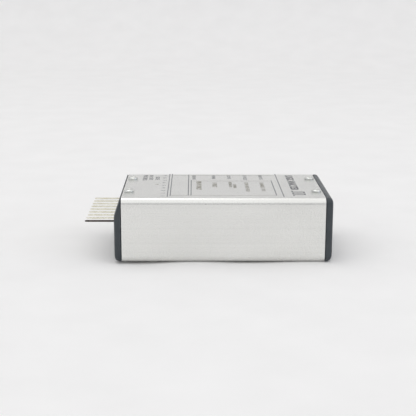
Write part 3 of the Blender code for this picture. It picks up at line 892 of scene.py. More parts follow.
@dataclass
class EndCap:
    """Moulded cap: a slab whose sections shrink towards its outer face, and two tongues."""

    end: End
    case: Case
    outer_corner: float = 1.6 * MM
    seam: float = 0.04 * MM
    edge: float = 0.35 * MM
    side_radius: float = 1.2 * MM
    foot_rise: float = 2.2 * MM
    foot_setback: float = 1.8 * MM
    foot_power: float = 1.8
    bevel_drop: float = 7.0 * MM
    bevel_setback: float = 2.4 * MM
    bevel_softness: float = 0.12 * MM
    top_radius: float = 1.8 * MM
    edge_break: float = 0.08 * MM
    tongue_depth: float = 6.0 * MM
    upper_tongue: float = 4.6 * MM
    lower_tongue: float = 3.0 * MM
    tongue_gap: float = 0.3 * MM
    tongue_corner: float = 0.8 * MM
    lead_in: float = 0.5 * MM
    mouth: float = 0.22 * MM

    def __post_init__(self) -> None:
        """Takes the slab's place from the frame."""
        self.sign = self.end.value
        self.node = "left_end_cap" if self.end is End.PINS else "right_end_cap"
        span = Span(self.node)
        self.inner_x = self.case.half_length + self.seam
        self.outer_x = max(abs(span.low[X]), abs(span.high[X]))
        self.thickness = self.outer_x - self.inner_x

    def chamfer(self, depth: np.ndarray, setback: float, rise: float) -> np.ndarray:
        """A chamfer with a softened start: slope times the hyperbola (t + sqrt(t^2 + s^2)) / 2.

        Args:
            depth: distances outwards from the slab's inner face.
            setback: how far in from the outer face the chamfer starts.
            rise: how much it takes away at the outer face.

        Returns:
            What it takes away at each depth.
        """
        start = self.thickness - setback
        t = np.append(depth, 0.0) - start
        soft = (t + np.sqrt(t**2 + self.bevel_softness**2)) / 2
        return rise / setback * (soft[:-1] - soft[-1])

    def rounding(
        self, depth: np.ndarray, setback: float, rise: float | None = None, power: float = 2.0
    ) -> np.ndarray:
        """A round at the outer face: rise times 1 - (1 - t^p)^(1 / p), t from 0 at its start to 1.

        Args:
            depth: distances outwards from the slab's inner face.
            setback: how far in from the outer face the round starts.
            rise: how much it takes away at the outer face, the setback if not given.
            power: p, 2 for an ellipse.

        Returns:
            What it takes away at each depth.
        """
        t = np.clip((depth - self.thickness) / setback + 1.0, 0.0, 1.0)
        return (rise or setback) * (1.0 - (1.0 - t**power) ** (1.0 / power))

    def slab(self) -> np.ndarray:
        """Rounded rectangles in YZ, one for each depth, as narrow and low as the cap is there.

        Returns:
            Points as ring, place along the ring, coordinate.
        """
        turn = np.linspace(0.0, math.pi / 2, 9)[1:]
        rim_from = self.thickness - self.edge
        depth = np.concatenate(
            (np.linspace(self.edge_break, rim_from, 22), rim_from + self.edge * np.sin(turn))
        )
        if self.end is End.PINS:
            top = self.chamfer(depth, self.bevel_setback, self.bevel_drop) + self.rounding(depth, self.edge)
        else:
            top = self.rounding(depth, self.top_radius)
        foot = self.rounding(depth, self.foot_setback, self.foot_rise, self.foot_power)
        side = self.rounding(depth, self.side_radius)
        shrink = (self.case.corner - self.outer_corner) * (depth / self.thickness) ** 2
        rows = [(0.0, self.edge_break, self.edge_break, self.edge_break, self.case.corner)]
        rows += list(zip(depth, top, foot, side, self.case.corner - shrink))
        stations = []
        for out, top_cut, foot_cut, side_cut, radius in rows:
            high = self.case.height - top_cut
            half = (self.case.half_width - side_cut, (high - foot_cut) / 2)
            outline = rounded_outline(half, radius, (0.0, (high + foot_cut) / 2))
            stations.append((self.sign * (self.inner_x + out), outline))
        return along(X, stations)

    def tongue(self, name: str, low: float, high: float) -> bpy.types.Object:
        """A bar that plugs into the case, with a lead-in at its tip.

        Args:
            name: name of the tool piece.
            low: its lowest height.
            high: its highest height.

        Returns:
            The bar, still apart from the slab.
        """
        tip = self.case.half_length - self.tongue_depth
        half = np.array([self.case.half_width - self.case.wall - self.tongue_gap, (high - low) / 2])
        middle = (0.0, (low + high) / 2)
        narrow = rounded_outline(half - self.lead_in * np.array([1.0, 0.5]), self.lead_in, middle)
        full = rounded_outline(half, self.tongue_corner, middle)
        root = self.inner_x + self.tongue_corner
        places = self.sign * np.array([tip, tip + self.lead_in, root])
        return Shell(name).add(along(X, list(zip(places, (narrow, full, full))))).link()

    def window(self, outline_of: Callable[[float], np.ndarray]) -> bpy.types.Object:
        """A tool that cuts an opening with a chamfered mouth through the slab.

        Args:
            outline_of: function of a clearance that gives the opening's outline in YZ.

        Returns:
            The tool.
        """
        far = 2 * self.mouth
        stations = [
            (self.sign * (self.case.half_length - 2 * self.tongue_depth), outline_of(0.0)),
            (self.sign * (self.outer_x - self.mouth), outline_of(0.0)),
            (self.sign * (self.outer_x + far), outline_of(self.mouth + far)),
        ]
        return Shell(f"{self.node}_window").add(along(X, stations)).link()

    def build(self, tools: list[bpy.types.Object]) -> None:
        """Joins the tongues to the slab and cuts its openings and screw holes.

        Args:
            tools: what cuts the openings of this end.
        """
        cap = Shell(f"moulded_{self.node}").add(self.slab()).link()
        bottom = self.case.wall + self.tongue_gap
        top = self.case.height - bottom
        bars = [
            self.tongue("upper_tongue", top - self.upper_tongue, top),
            self.tongue("lower_tongue", bottom, bottom + self.lower_tongue),
        ]
        carve(cap, bars, Carving.JOIN)
        near = [number for number in SCREWS if Span(f"cap_screw_{number}").middle[X] * self.sign > 0]
        carve(cap, tools + [screw_hole(number) for number in near], Carving.CUT)
        complete(cap, CAP_ABS, self.node)


# ---------------------------------------------------------------- the screws


@dataclass
class CapScrew:
    """Pan-head cross-recess screw with a rolled thread, whole from crown to tip."""

    number: int
    recess_half_span: float = 1.15 * MM
    recess_half_width: float = 0.27 * MM
    recess_depth: float = 0.8 * MM
    recess_lip: float = 0.05 * MM
    lip_share: float = 1.05
    crown_power: float = 2.6
    rim_share: float = 0.32
    seat_drop: float = 0.07 * MM
    head_height: float = 1.1 * MM
    head_edge: float = 0.08 * MM
    neck: float = 0.1 * MM
    shank_radius: float = 1.05 * MM
    thread_depth: float = 0.16 * MM
    thread_pitch: float = 0.5 * MM
    thread_steps: int = 8
    tip_length: float = 0.9 * MM

    def __post_init__(self) -> None:
        """Takes the head's radius and the screw's place from its node's box."""
        self.body = f"cap_screw_{self.number}"
        self.span = Span(self.body)
        self.head_radius = self.span.half[X]
        self.top = self.span.high[Z]
        self.seat = self.top - self.head_height - self.seat_drop

    def turns(self) -> np.ndarray:
        """Angles round the head: in each eighth, the arm's end and then even steps along its side."""
        h, s = self.recess_half_width, self.recess_half_span
        end = np.arctan(np.linspace(0.0, h, 3) / s)
        side = np.arctan(h / np.geomspace(s, h, 7))[1:-1]
        eighth = np.concatenate((end, side))
        quarter = np.concatenate((eighth, [math.pi / 4], (math.pi / 2 - eighth[::-1])[:-1]))
        return np.concatenate([quarter + k * math.pi / 2 for k in range(4)])

    def cross(self, turn: np.ndarray) -> np.ndarray:
        """Radius of the recess's edge: the nearer of an arm's end, s / cos t, and its side, h / sin t.

        Args:
            turn: angles round the head.

        Returns:
            The radius at each angle.
        """
        folded = np.abs((turn + math.pi / 4) % (math.pi / 2) - math.pi / 4)
        end = self.recess_half_span / np.cos(folded)
        side = self.recess_half_width / np.maximum(np.sin(folded), 1e-6)
        return np.minimum(end, side)

    def crown(self, radius: np.ndarray) -> np.ndarray:
        """Height of the head: rim plus the rest times (1 - (r / R)^p)^(1 / p).

        Args:
            radius: distances from the axis.

        Returns:
            Heights.
        """
        rim = self.seat + self.rim_share * (self.top - self.seat)
        share = np.clip(1.0 - (radius / self.head_radius) ** self.crown_power, 0.0, 1.0)
        return rim + (self.top - rim) * share ** (1.0 / self.crown_power)

    def head(self, turn: np.ndarray) -> list[tuple[np.ndarray, np.ndarray]]:
        """Runs from the recess's floor up its walls, over the crown and under the head.

        Args:
            turn: angles round the head.

        Returns:
            Radius and height of each ring.
        """
        edge = self.cross(turn)
        rings = []
        for share, depth in ((0.35, 1.0), (0.8, 0.8), (0.93, 0.45)):
            rings.append((share * edge, self.top - depth * self.recess_depth))
        rings.append((edge, self.crown(edge) - self.recess_lip))
        lip = self.lip_share * edge
        for share in np.append(0.0, 1.0 - (1.0 - np.linspace(0.1, 1.0, 14)) ** 2):
            radius = lip + share * (self.head_radius - lip)
            rings.append((radius, self.crown(radius)))
        rings.append((self.head_radius, self.seat + self.head_edge))
        rings.append((self.head_radius - self.head_edge, self.seat))
        rings.append((self.shank_radius, self.seat))
        return rings

    def shank(self, turn: np.ndarray) -> list[tuple[np.ndarray, float]]:
        """Runs down the thread and round the tip.

        The thread's radius is the core plus a ridge: depth times 1 - |2 phase - 1|, where phase is
        the fraction of height over pitch less turn over a full circle.

        Args:
            turn: angles round the head.

        Returns:
            Radius and height of each ring.
        """
        rings = []
        tip = self.span.low[Z] + self.tip_length
        step = self.thread_pitch / self.thread_steps
        for z in np.arange(self.seat - self.neck, tip, -step):
            phase = (z / self.thread_pitch - turn / (2 * math.pi)) % 1.0
            ridge = 1.0 - np.abs(2.0 * phase - 1.0)
            rings.append((self.shank_radius - self.thread_depth * (1.0 - ridge), z))
        core = self.shank_radius - self.thread_depth
        for share in (0.05, 0.5, 0.85, 1.0):
            rings.append((core * math.sqrt(1.0 - 0.97 * share**2), tip - self.tip_length * share))
        return rings

    def build(self) -> None:
        """Sets (r cos t, r sin t, z) on the screw's axis for every ring from the recess to the tip."""
        turn = self.turns()
        x, y, _ = self.span.middle
        grid = []
        for radius, height in self.head(turn) + self.shank(turn):
            place = (x + radius * np.cos(turn), y + radius * np.sin(turn), height + 0 * turn)
            grid.append(np.column_stack(place))
        screw = Shell(f"pan_head_screw_{self.number}").add(np.stack(grid)).link()
        complete(screw, SCREW_NICKEL, self.body, self.body, creased=False)


# ---------------------------------------------------------------- the probe header


@dataclass
class ProbeHeader:
    """Right-angle square pins moulded through one notched insulator bar."""

    pin_count: int = 9
    pin_edge: float = 0.07 * MM
    taper_length: float = 0.7 * MM
    taper_share: float = 0.45
    bend_radius: float = 0.9 * MM
    notch_depth: float = 0.35 * MM
    notch_half: float = 0.55 * MM
    bar_edge: float = 0.2 * MM
    pin_play: float = 0.01 * MM
    window_play: float = 0.3 * MM
    window_corner: float = 0.35 * MM

    def __post_init__(self) -> None:
        """Takes the pins' and the bar's places from the frame."""
        self.numbers = range(1, self.pin_count + 1)
        self.pins = {number: Span(f"header_pin_{number}") for number in self.numbers}
        self.bar_span = Span("header_insulator")
        first, last = self.pins[1].middle[Y], self.pins[self.pin_count].middle[Y]
        self.pitch = (last - first) / (self.pin_count - 1)
        self.gaps = first + self.pitch * (np.arange(self.pin_count - 1) + 0.5)
        self.tail_x = self.pins[1].high[X] - self.pins[1].half[Y]

    def pin(self, number: int) -> None:
        """Carries a rounded square along a line, a quarter circle and a line down.

        Args:
            number: the pin, from the front.
        """
        span = self.pins[number]
        half = span.half[Y]
        axis_z = span.high[Z] - half
        bend = self.bend_radius
        turn = np.linspace(0.0, math.pi / 2, 11)
        tips = np.array([0.0, 0.35, 1.0])
        lead = np.column_stack((span.low[X] + self.taper_length * tips, np.full(3, axis_z)))
        elbow = (self.tail_x - bend, axis_z - bend) + bend * np.column_stack((np.sin(turn), np.cos(turn)))
        tail = np.column_stack((np.full(3, self.tail_x), span.low[Z] + self.taper_length * tips[::-1]))
        path = np.concatenate((lead, elbow, tail))
        heading = np.concatenate((np.zeros(3), turn, np.full(3, math.pi / 2)))[:, None]
        growth = np.array([self.taper_share, 0.82, 1.0])
        size = np.concatenate((growth, np.ones(len(turn)), growth[::-1]))[:, None]
        sideways, outward = rounded_outline((half, half), self.pin_edge).T
        x = path[:, :1] + size * outward * np.sin(heading)
        y = span.middle[Y] + size * sideways
        z = path[:, 1:] + size * outward * np.cos(heading)
        pin = Shell(f"probe_pin_{number}").add(np.stack((x, y, z), axis=-1)).link()
        # The front pin gets the painted dark reflection colour; the others are plain pale gold.
        finish, slot = (PIN_PAINTED_DARK_REFLECTION, "pin_dark") if number == 1 else (PIN_GOLD, "pin_gold")
        complete(pin, finish, f"header_pin_{number}")

    def bar(self) -> None:
        """Carries a rounded rectangle along Y, drawn in by a notch between each two pins.

        The inset is depth times 1 - |y - middle| / half width near a notch's middle, and none elsewhere.
        """
        span, edge = self.bar_span, self.bar_edge
        stops = (self.gaps[:, None] + self.notch_half * np.array([-1.0, 0.0, 1.0])).ravel()
        ends = (span.low[Y], span.low[Y] + edge), (span.high[Y] - edge, span.high[Y])
        places = np.concatenate((ends[0], stops, ends[1]))
        nearest = np.abs(places[:, None] - self.gaps[None, :]).min(axis=1)
        inset = self.notch_depth * np.clip(1.0 - nearest / self.notch_half, 0.0, 1.0)
        inset[[0, -1]] = edge
        half, middle = span.half[[X, Z]], span.middle[[X, Z]]
        stations = [(y, rounded_outline(half - cut, edge, middle)) for y, cut in zip(places, inset)]
        bar = Shell("notched_insulator_bar").add(along(Y, stations)).link()
        cuts = Shell("pin_ways")
        for pin in self.pins.values():
            side = pin.half[Y] + self.pin_play
            outline = rounded_outline((side, side), self.pin_edge, (pin.middle[Y], pin.high[Z] - pin.half[Y]))
            cuts.add(along(X, [(span.low[X] - edge, outline), (span.high[X] + edge, outline)]))
        carve(bar, [cuts.link()], Carving.CUT)
        complete(bar, NYLON, "header_insulator")

    def window_outline(self, clearance: float) -> np.ndarray:
        """Outline in YZ of the opening round the bar, at a further clearance."""
        half = self.bar_span.half[Y:] + self.window_play + clearance
        return rounded_outline(half, self.window_corner, self.bar_span.middle[Y:])

    def build(self) -> None:
        """Makes the bar and every pin."""
        self.bar()
        for number in self.numbers:
            self.pin(number)


# ---------------------------------------------------------------- the socket and the lamp


@dataclass
class Socket:
    """Stamped shell with a flared lip round a contact tongue that carries five gold strips."""

    wall: float = 0.35 * MM
    cut: float = 0.9 * MM
    bend: float = 0.35 * MM
    flare: float = 0.14 * MM
    flare_depth: float = 0.7 * MM
    window_play: float = 0.3 * MM
    strip_count: int = 5
    strip_pitch: float = 0.65 * MM
    strip_half: float = 0.17 * MM
    strip_rise: float = 0.05 * MM
    strip_setback: float = 0.4 * MM
    blade_half_thickness: float = 0.4 * MM
    blade_root: float = 0.3 * MM
    block_depth: float = 2.2 * MM
    block_edge: float = 0.12 * MM

    def outline(self, clearance: float) -> np.ndarray:
        """Outline in YZ of the shell with its lower corners cut, grown by a clearance.

        Args:
            clearance: how far it is grown, or taken in where negative.

        Returns:
            The outline's points, anticlockwise.
        """
        span = Span("usb_shell")
        half = span.high[Y] + clearance
        bottom, top = span.low[Z] - clearance, span.high[Z] + clearance
        right = np.array([(half - self.cut, bottom), (half, bottom + self.cut), (half, top)])
        return soft_polygon(np.vstack((right, right[::-1] * (-1.0, 1.0))), self.bend)

    def window_outline(self, clearance: float) -> np.ndarray:
        """Outline in YZ of the opening round the shell, at a further clearance."""
        return self.outline(self.window_play + clearance)

    def shell(self) -> None:
        """Runs outlines from the closed back along the outside, over the lip and back inside."""
        span = Span("usb_shell")
        back, front = span.low[X], span.high[X]
        near = front - self.flare_depth
        halfway = near + self.flare_depth / 2
        stations = [
            (back, -self.bend),
            (back + self.bend / 3, -self.bend / 3),
            (back + self.bend, 0.0),
            (near, 0.0),
            (halfway, self.flare / 4),
            (front - 0.05 * MM, self.flare),
            (front, self.flare - 0.08 * MM),
            (front - 0.03 * MM, self.flare - 0.22 * MM),
            (halfway, -self.wall + 0.06 * MM),
            (near, -self.wall),
            (back + self.wall, -self.wall),
        ]
        rings = along(X, [(x, self.outline(clearance)) for x, clearance in stations])
        complete(Shell("stamped_socket_shell").add(rings).link(), TIN, "usb_shell")

    def tongue(self) -> None:
        """Makes the moulded block and tongue, and the strips pressed into the tongue's lower face."""
        span = Span("usb_contact_tongue")
        thick, rise = self.blade_half_thickness, self.strip_rise
        root = span.low[X] + self.block_depth
        middle = span.middle[Z]
        block = pillow(span.low, np.array([root, *span.high[Y:]]), self.block_edge)
        blade_low = np.array([root - self.blade_root, span.low[Y], middle - thick])
        blade_high = np.array([*span.high[:Z], middle + thick])
        tongue = Shell("contact_tongue").add(block).link()
        blade = Shell("blade").add(pillow(blade_low, blade_high, self.block_edge)).link()
        carve(tongue, [blade], Carving.JOIN)
        complete(tongue, NYLON, "usb_contact_tongue")
        strips = Shell("contact_strips")
        tip = span.high[X] - self.strip_setback
        for index in range(self.strip_count):
            y = (index - (self.strip_count - 1) / 2) * self.strip_pitch
            low = np.array([root, y - self.strip_half, middle - thick - rise])
            high = np.array([tip, y + self.strip_half, middle - thick + rise])
            strips.add(pillow(low, high, rise / 2))
        complete(strips.link(), CONTACT_GOLD)

    def build(self) -> None:
        """Makes the shell, the tongue and its strips."""
        self.shell()
        self.tongue()


@dataclass
class StatusLight:
    """Round lamp: a hemisphere on a cylinder with a thin flange."""

    flange: float = 0.1 * MM
    flange_from: float = 5.6 * MM
    bore_play: float = 0.15 * MM
    mouth: float = 0.2 * MM
    steps: int = 48

    def __post_init__(self) -> None:
        """Takes the lamp's radius and place from its node's box."""
        self.span = Span("status_lamp")
        self.radius = self.span.half[Y]

    def lying(self, name: str, profile: list[tuple[float, float]]) -> bpy.types.Object:
        """Turns a profile about the lamp's own axis, which lies along X.

        Rings made about Z are laid over: (x, y, z) goes to (z, axis y - x, axis z + y).

        Args:
            name: name of the piece.
            profile: radius and X of each ring.

        Returns:
            The piece.
        """
        x, y, z = np.moveaxis(turned(profile, self.steps), -1, 0)
        rings = np.stack((z, self.span.middle[Y] - x, self.span.middle[Z] + y), axis=-1)
        return Shell(name).add(rings).link()

    def bore(self, outer_x: float) -> bpy.types.Object:
        """The tool for the lamp's hole in the cap, with a chamfered mouth.

        Args:
            outer_x: X of the cap's outer face.

        Returns:
            The tool.
        """
        radius = self.radius + self.bore_play
        flared = (radius + 2 * self.mouth, outer_x + self.mouth)
        return self.lying("lamp_bore", [(radius, self.span.low[X]), (radius, outer_x - self.mouth), flared])

    def build(self) -> None:
        """Turns the lamp: radius times (sin a, cos a) over the dome, then the side and the flange."""
        a = np.linspace(0.04, math.pi / 2, 16)
        back, tip = self.span.low[X], self.span.high[X]
        dome = list(zip(self.radius * np.sin(a), tip - self.radius + self.radius * np.cos(a)))
        step = tip - self.flange_from
        lip = self.flange
        wide = self.radius + lip
        side = [(self.radius, step), (wide, step - lip), (wide, back + lip), (wide - lip, back)]
        complete(self.lying("status_lamp_lens", dome + side), LAMP, "status_lamp")


# ---------------------------------------------------------------- the board and its parts


@dataclass(frozen=True)
class PartLooks:
    """How one board component is dressed: its node, material, and the metal beyond its body in X and Y."""

    node: str
    name: str
    colour: str
    metal: tuple[float, float]
    fleck: str = "#3B3B3D"
    roughness: float = 0.6
    dot: float = 0.35 * MM

    def dress(self) -> None:
        """Gives the node a moulded package's finish, fitted to its box."""
        span = Span(self.node)
        seam = 0.01 * MM
        middle = tuple(span.middle[:Z].tolist())
        body = tuple((span.half[:Z] - self.metal + seam).tolist())
        place = (middle, body, self.fleck, self.dot)
        paint_node(self.node, MouldedPackage(self.name, self.colour, self.roughness, 0.0, *place))


@dataclass
class Board:
    """The circuit board and everything soldered to it: the frame's own solids, dressed."""

    header: ProbeHeader
    epoxy: str = "#242426"
    lead_reach: float = 1.0 * MM

    def looks(self) -> list[PartLooks]:
        """Lists the components.

        Returns:
            One entry for each node.
        """
        epoxy, leads = self.epoxy, self.lead_reach
        parts = [
            PartLooks("capture_chip", "moulded capture chip", epoxy, (leads, leads), dot=0.6 * MM),
            PartLooks("usb_interface_chip", "moulded interface chip", epoxy, (1.1 * MM, 0.0)),
            PartLooks("settings_memory_chip", "moulded memory chip", epoxy, (leads, 0.0)),
            PartLooks("voltage_regulator", "moulded regulator", epoxy, (1.7 * MM, 0.0)),
            PartLooks("usb_fuse", "moulded fuse", "#2F3B33", (0.0, 0.6 * MM), "#46554A", dot=0.2 * MM),
            PartLooks("ferrite_bead", "fired ferrite", "#4A4744", (0.5 * MM, 0.0), "#5B5754", 0.45, 0.1 * MM),
            PartLooks("lamp_holder", "moulded nylon holder", "#1D1E20", (0.0, 0.0), "#37383A", 0.5, 0.2 * MM),
        ]
        amber = ("#C98A2B", (0.45 * MM, 0.0), "#DBA24A", 0.45, 0.3 * MM)
        ceramic = ("#2B2A2A", (0.3 * MM, 0.0), "#4A4847", 0.4, 0.1 * MM)
        groups = (
            (2, "input_buffer_chip", "moulded buffer chip", (epoxy, (leads, 0.0))),
            (2, "tantalum_capacitor", "moulded tantalum capacitor", amber),
            (3, "input_resistor_array", "fired ceramic resistor array", ceramic),
        )
        for count, node, name, rest in groups:
            for number in range(1, count + 1):
                parts.append(PartLooks(f"{node}_{number}", f"{name} {number}", *rest))
        return parts

    def build(self) -> None:
        """Gives each node of the board its material."""
        name = "solder-resisted glass-epoxy laminate"
        place = (float(self.header.tail_x), float(self.header.pitch))
        paint_node("circuit_board", BoardLaminate(name, "#17593A", 0.3, 0.0, *place))
        paint_node("clock_crystal", TIN)
        for look in self.looks():
            look.dress()


def paint_node(node: str, finish: Finish) -> None:
    """Puts a finish on a node of the frame, whose shape stays as it is.

    Args:
        node: the node.
        finish: what it is made of.
    """
    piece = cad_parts[node]
    piece.data.materials.clear()
    piece.data.materials.append(finish.make())
    log.info("%s: dressed as %s", node, finish.name)


# ---------------------------------------------------------------- the printed legend


class Weight(Enum):
    """How heavy a line of print is: how far its strokes are swollen, as a share of its size."""

    LIGHT = 0.0
    BOLD = 0.035


@dataclass(frozen=True)
class Line:
    """One line of print: its words, where its middle lies along X, and its ends along Y.

    Without an end it keeps its natural width, centred on its start.
    """

    words: str
    x: float
    start: float
    end: float | None = None
    height: float = 1.5
    weight: Weight = Weight.LIGHT


@dataclass
class Legend:
    """Screen print on the top face: a ruled frame, generic words and numbers, and a wave glyph.

    Places are in millimetres from the case's middle along X and from its front face along Y.
    Words read from the back towards the front.
    """

    header: ProbeHeader
    ink: float = 0.025 * MM
    lift: float = 0.004 * MM
    rule_width: float = 0.38 * MM
    fine_share: float = 0.6
    fine_cover: float = 0.8
    glyph_width: float = 0.6 * MM

    def __post_init__(self) -> None:
        """Takes the top face from the frame."""
        case = Span("extruded_case")
        self.front = case.low[Y]
        self.bottom = case.high[Z] + self.lift

    def stroke(self, path: np.ndarray, width: float, cover: float = 1.0) -> np.ndarray:
        """Carries a low section along a bent path, each bend's section along n1 + n2 over 1 + n1 . n2.

        Args:
            path: X from the middle and Y from the front, in millimetres, one row for each bend.
            width: width of the line.
            cover: thickness of the ink, as a share of its full thickness.

        Returns:
            Points as ring, place along the ring, coordinate.
        """
        places = path * MM + (0.0, self.front)
        way = np.diff(places, axis=0)
        way /= np.linalg.norm(way, axis=1, keepdims=True)
        normal = np.column_stack((-way[:, 1], way[:, 0]))
        before = np.vstack((normal[:1], normal))
        after = np.vstack((normal, normal[-1:]))
        mitre = (before + after) / (1.0 + (before * after).sum(axis=1, keepdims=True))
        climb = np.array([(0.42, 0.0), (0.5, 0.3), (0.5, 0.7), (0.44, 1.0)])
        section = np.vstack((climb, climb[::-1] * (-1.0, 1.0)))
        flat = places[:, None, :] + width * section[None, :, :1] * mitre[:, None, :]
        height = self.bottom + cover * self.ink * section[None, :, 1:]
        return np.concatenate((flat, np.broadcast_to(height, (*flat.shape[:2], 1))), axis=-1)

    def rules(self) -> None:
        """Prints the frame lines: pairs across the case and fainter, thinner ones along it."""
        across = (
            (-22.0, 3.5, 49.0),
            (-20.9, 5.0, 49.0),
            (-13.8, 6.0, 47.0),
            (-12.7, 6.0, 36.0),
            (21.0, 6.0, 35.0),
            (23.7, 3.0, 49.0),
        )
        lengthwise = ((6.0, -20.9, 21.0), (34.0, -12.7, 21.0), (46.3, -20.9, 23.7))
        heavy = Shell("printed_rules")
        for x, start, end in across:
            heavy.add(self.stroke(np.array([(x, start), (x, end)]), self.rule_width))
        faint = Shell("printed_fine_rules")
        width = self.fine_share * self.rule_width
        for y, start, end in lengthwise:
            faint.add(self.stroke(np.array([(start, y), (end, y)]), width, self.fine_cover))
        complete(heavy.link(), GREY_INK, creased=False)
        complete(faint.link(), WARM_INK, creased=False)

    def glyph(self) -> None:
        """Prints a square wave of two and a half cycles beside the title, as one bent line."""
        levels = np.array([27.8, 32.4, 27.8, 32.4, 27.8])
        steps = np.linspace(14.2, 5.4, len(levels) + 1)
        path = np.column_stack((np.repeat(levels, 2), np.repeat(steps, 2)[1:-1]))
        piece = Shell("printed_wave_glyph").add(self.stroke(path, self.glyph_width)).link()
        complete(piece, DARK_INK, creased=False)

    def letters(self, line: Line) -> bpy.types.Mesh:
        """Sets a line of type as a closed mesh, and fits it to its place.

        Args:
            line: the line of print.

        Returns:
            The mesh, in the object's frame.
        """
        curve = bpy.data.curves.new("type", "FONT")
        curve.body = line.words
        curve.extrude = 0.5
        curve.offset = line.weight.value
        curve.resolution_u = 3
        curve.fill_mode = "BOTH"
        holder = stand("type", curve)
        mesh = evaluated(holder)
        bpy.data.objects.remove(holder, do_unlink=True)
        points = np.zeros(len(mesh.vertices) * 3)
        mesh.vertices.foreach_get("co", points)
        points = points.reshape(-1, 3)
        low, high = points.min(axis=0), points.max(axis=0)
        share = (points - low) / (high - low)
        width = (high[X] - low[X]) * line.height / (high[Y] - low[Y])
        ends = (line.start, line.end) if line.end else (line.start + width / 2, line.start - width / 2)
        x = (line.x + (share[:, Y] - 0.5) * line.height) * MM
        y = self.front + (ends[0] + share[:, X] * (ends[1] - ends[0])) * MM
        z = self.bottom + share[:, Z] * self.ink
        mesh.vertices.foreach_set("co", np.column_stack((x, y, z)).astype(np.float32).ravel())
        return mesh

    def words(self, name: str, ink: Finish, lines: tuple[Line, ...]) -> None:
        """Prints several lines of type as one piece.

        Args:
            name: name of the piece.
            ink: the ink.
            lines: what is printed.
        """
        joined = bmesh.new()
        for line in lines:
            mesh = self.letters(line)
            joined.from_mesh(mesh)
            bpy.data.meshes.remove(mesh)
        bmesh.ops.remove_doubles(joined, verts=joined.verts, dist=0.0005 * MM)
        bmesh.ops.recalc_face_normals(joined, faces=joined.faces)
        data = bpy.data.meshes.new(name)
        joined.to_mesh(data)
        joined.free()
        piece = stand(name, data)
        complete(piece, ink, creased=False)
        data.shade_flat()

    def build(self) -> None:
        """Prints the rules, the glyph and every group of words."""
        self.rules()
        self.glyph()
        title = Line("LOGIC ANALYZER", 29.3, 46.0, 16.0, 3.3, Weight.BOLD)
        self.words("printed_title", DARK_INK, (title,))
        labels = (
            Line("INPUTS", 16.9, 46.0, 37.4),
            Line("LEVELS", 10.2, 46.0, 36.4),
            Line("CLOCK", 3.4, 45.6, 38.4),
            Line("POWER", -3.2, 45.6, 38.2),
            Line("GROUND", -11.5, 46.0, 37.0),
            Line("PROBES", -32.3, 46.6, 35.4, 1.9),
            Line("IN / OUT", -29.8, 46.0, 36.0, 1.7),
            Line("SIDE", -27.0, 42.8, 36.4, 1.7),
        )
        self.words("printed_labels", GREY_INK, labels)
        values = (
            Line("CHANNELS 1 TO 8", 16.5, 31.0, 14.0, 1.6),
            Line("LOW AND HIGH", 10.2, 31.0, 13.4, 1.6),
            Line("INTERNAL OR", 3.5, 32.0, 21.4, 1.3),
            Line("EXTERNAL", 5.2, 27.0, 19.6, 1.3),
            Line("5 VOLT", -3.0, 30.6, 21.4, 1.9, Weight.BOLD),
            Line("PIN 9 ONLY", -9.5, 33.0, 16.4, 2.2, Weight.BOLD),
            Line("9", -26.9, 27.0, None, 1.6),
        )
        self.words("printed_values", WARM_INK, values)
        channels = []
        for number, pin in self.header.pins.items():
            channels.append(Line(str(number), -23.9, (pin.middle[Y] - self.front) / MM, None, 1.6))
        self.words("printed_channel_numbers", GREY_INK, tuple(channels))


# ---------------------------------------------------------------- the studio


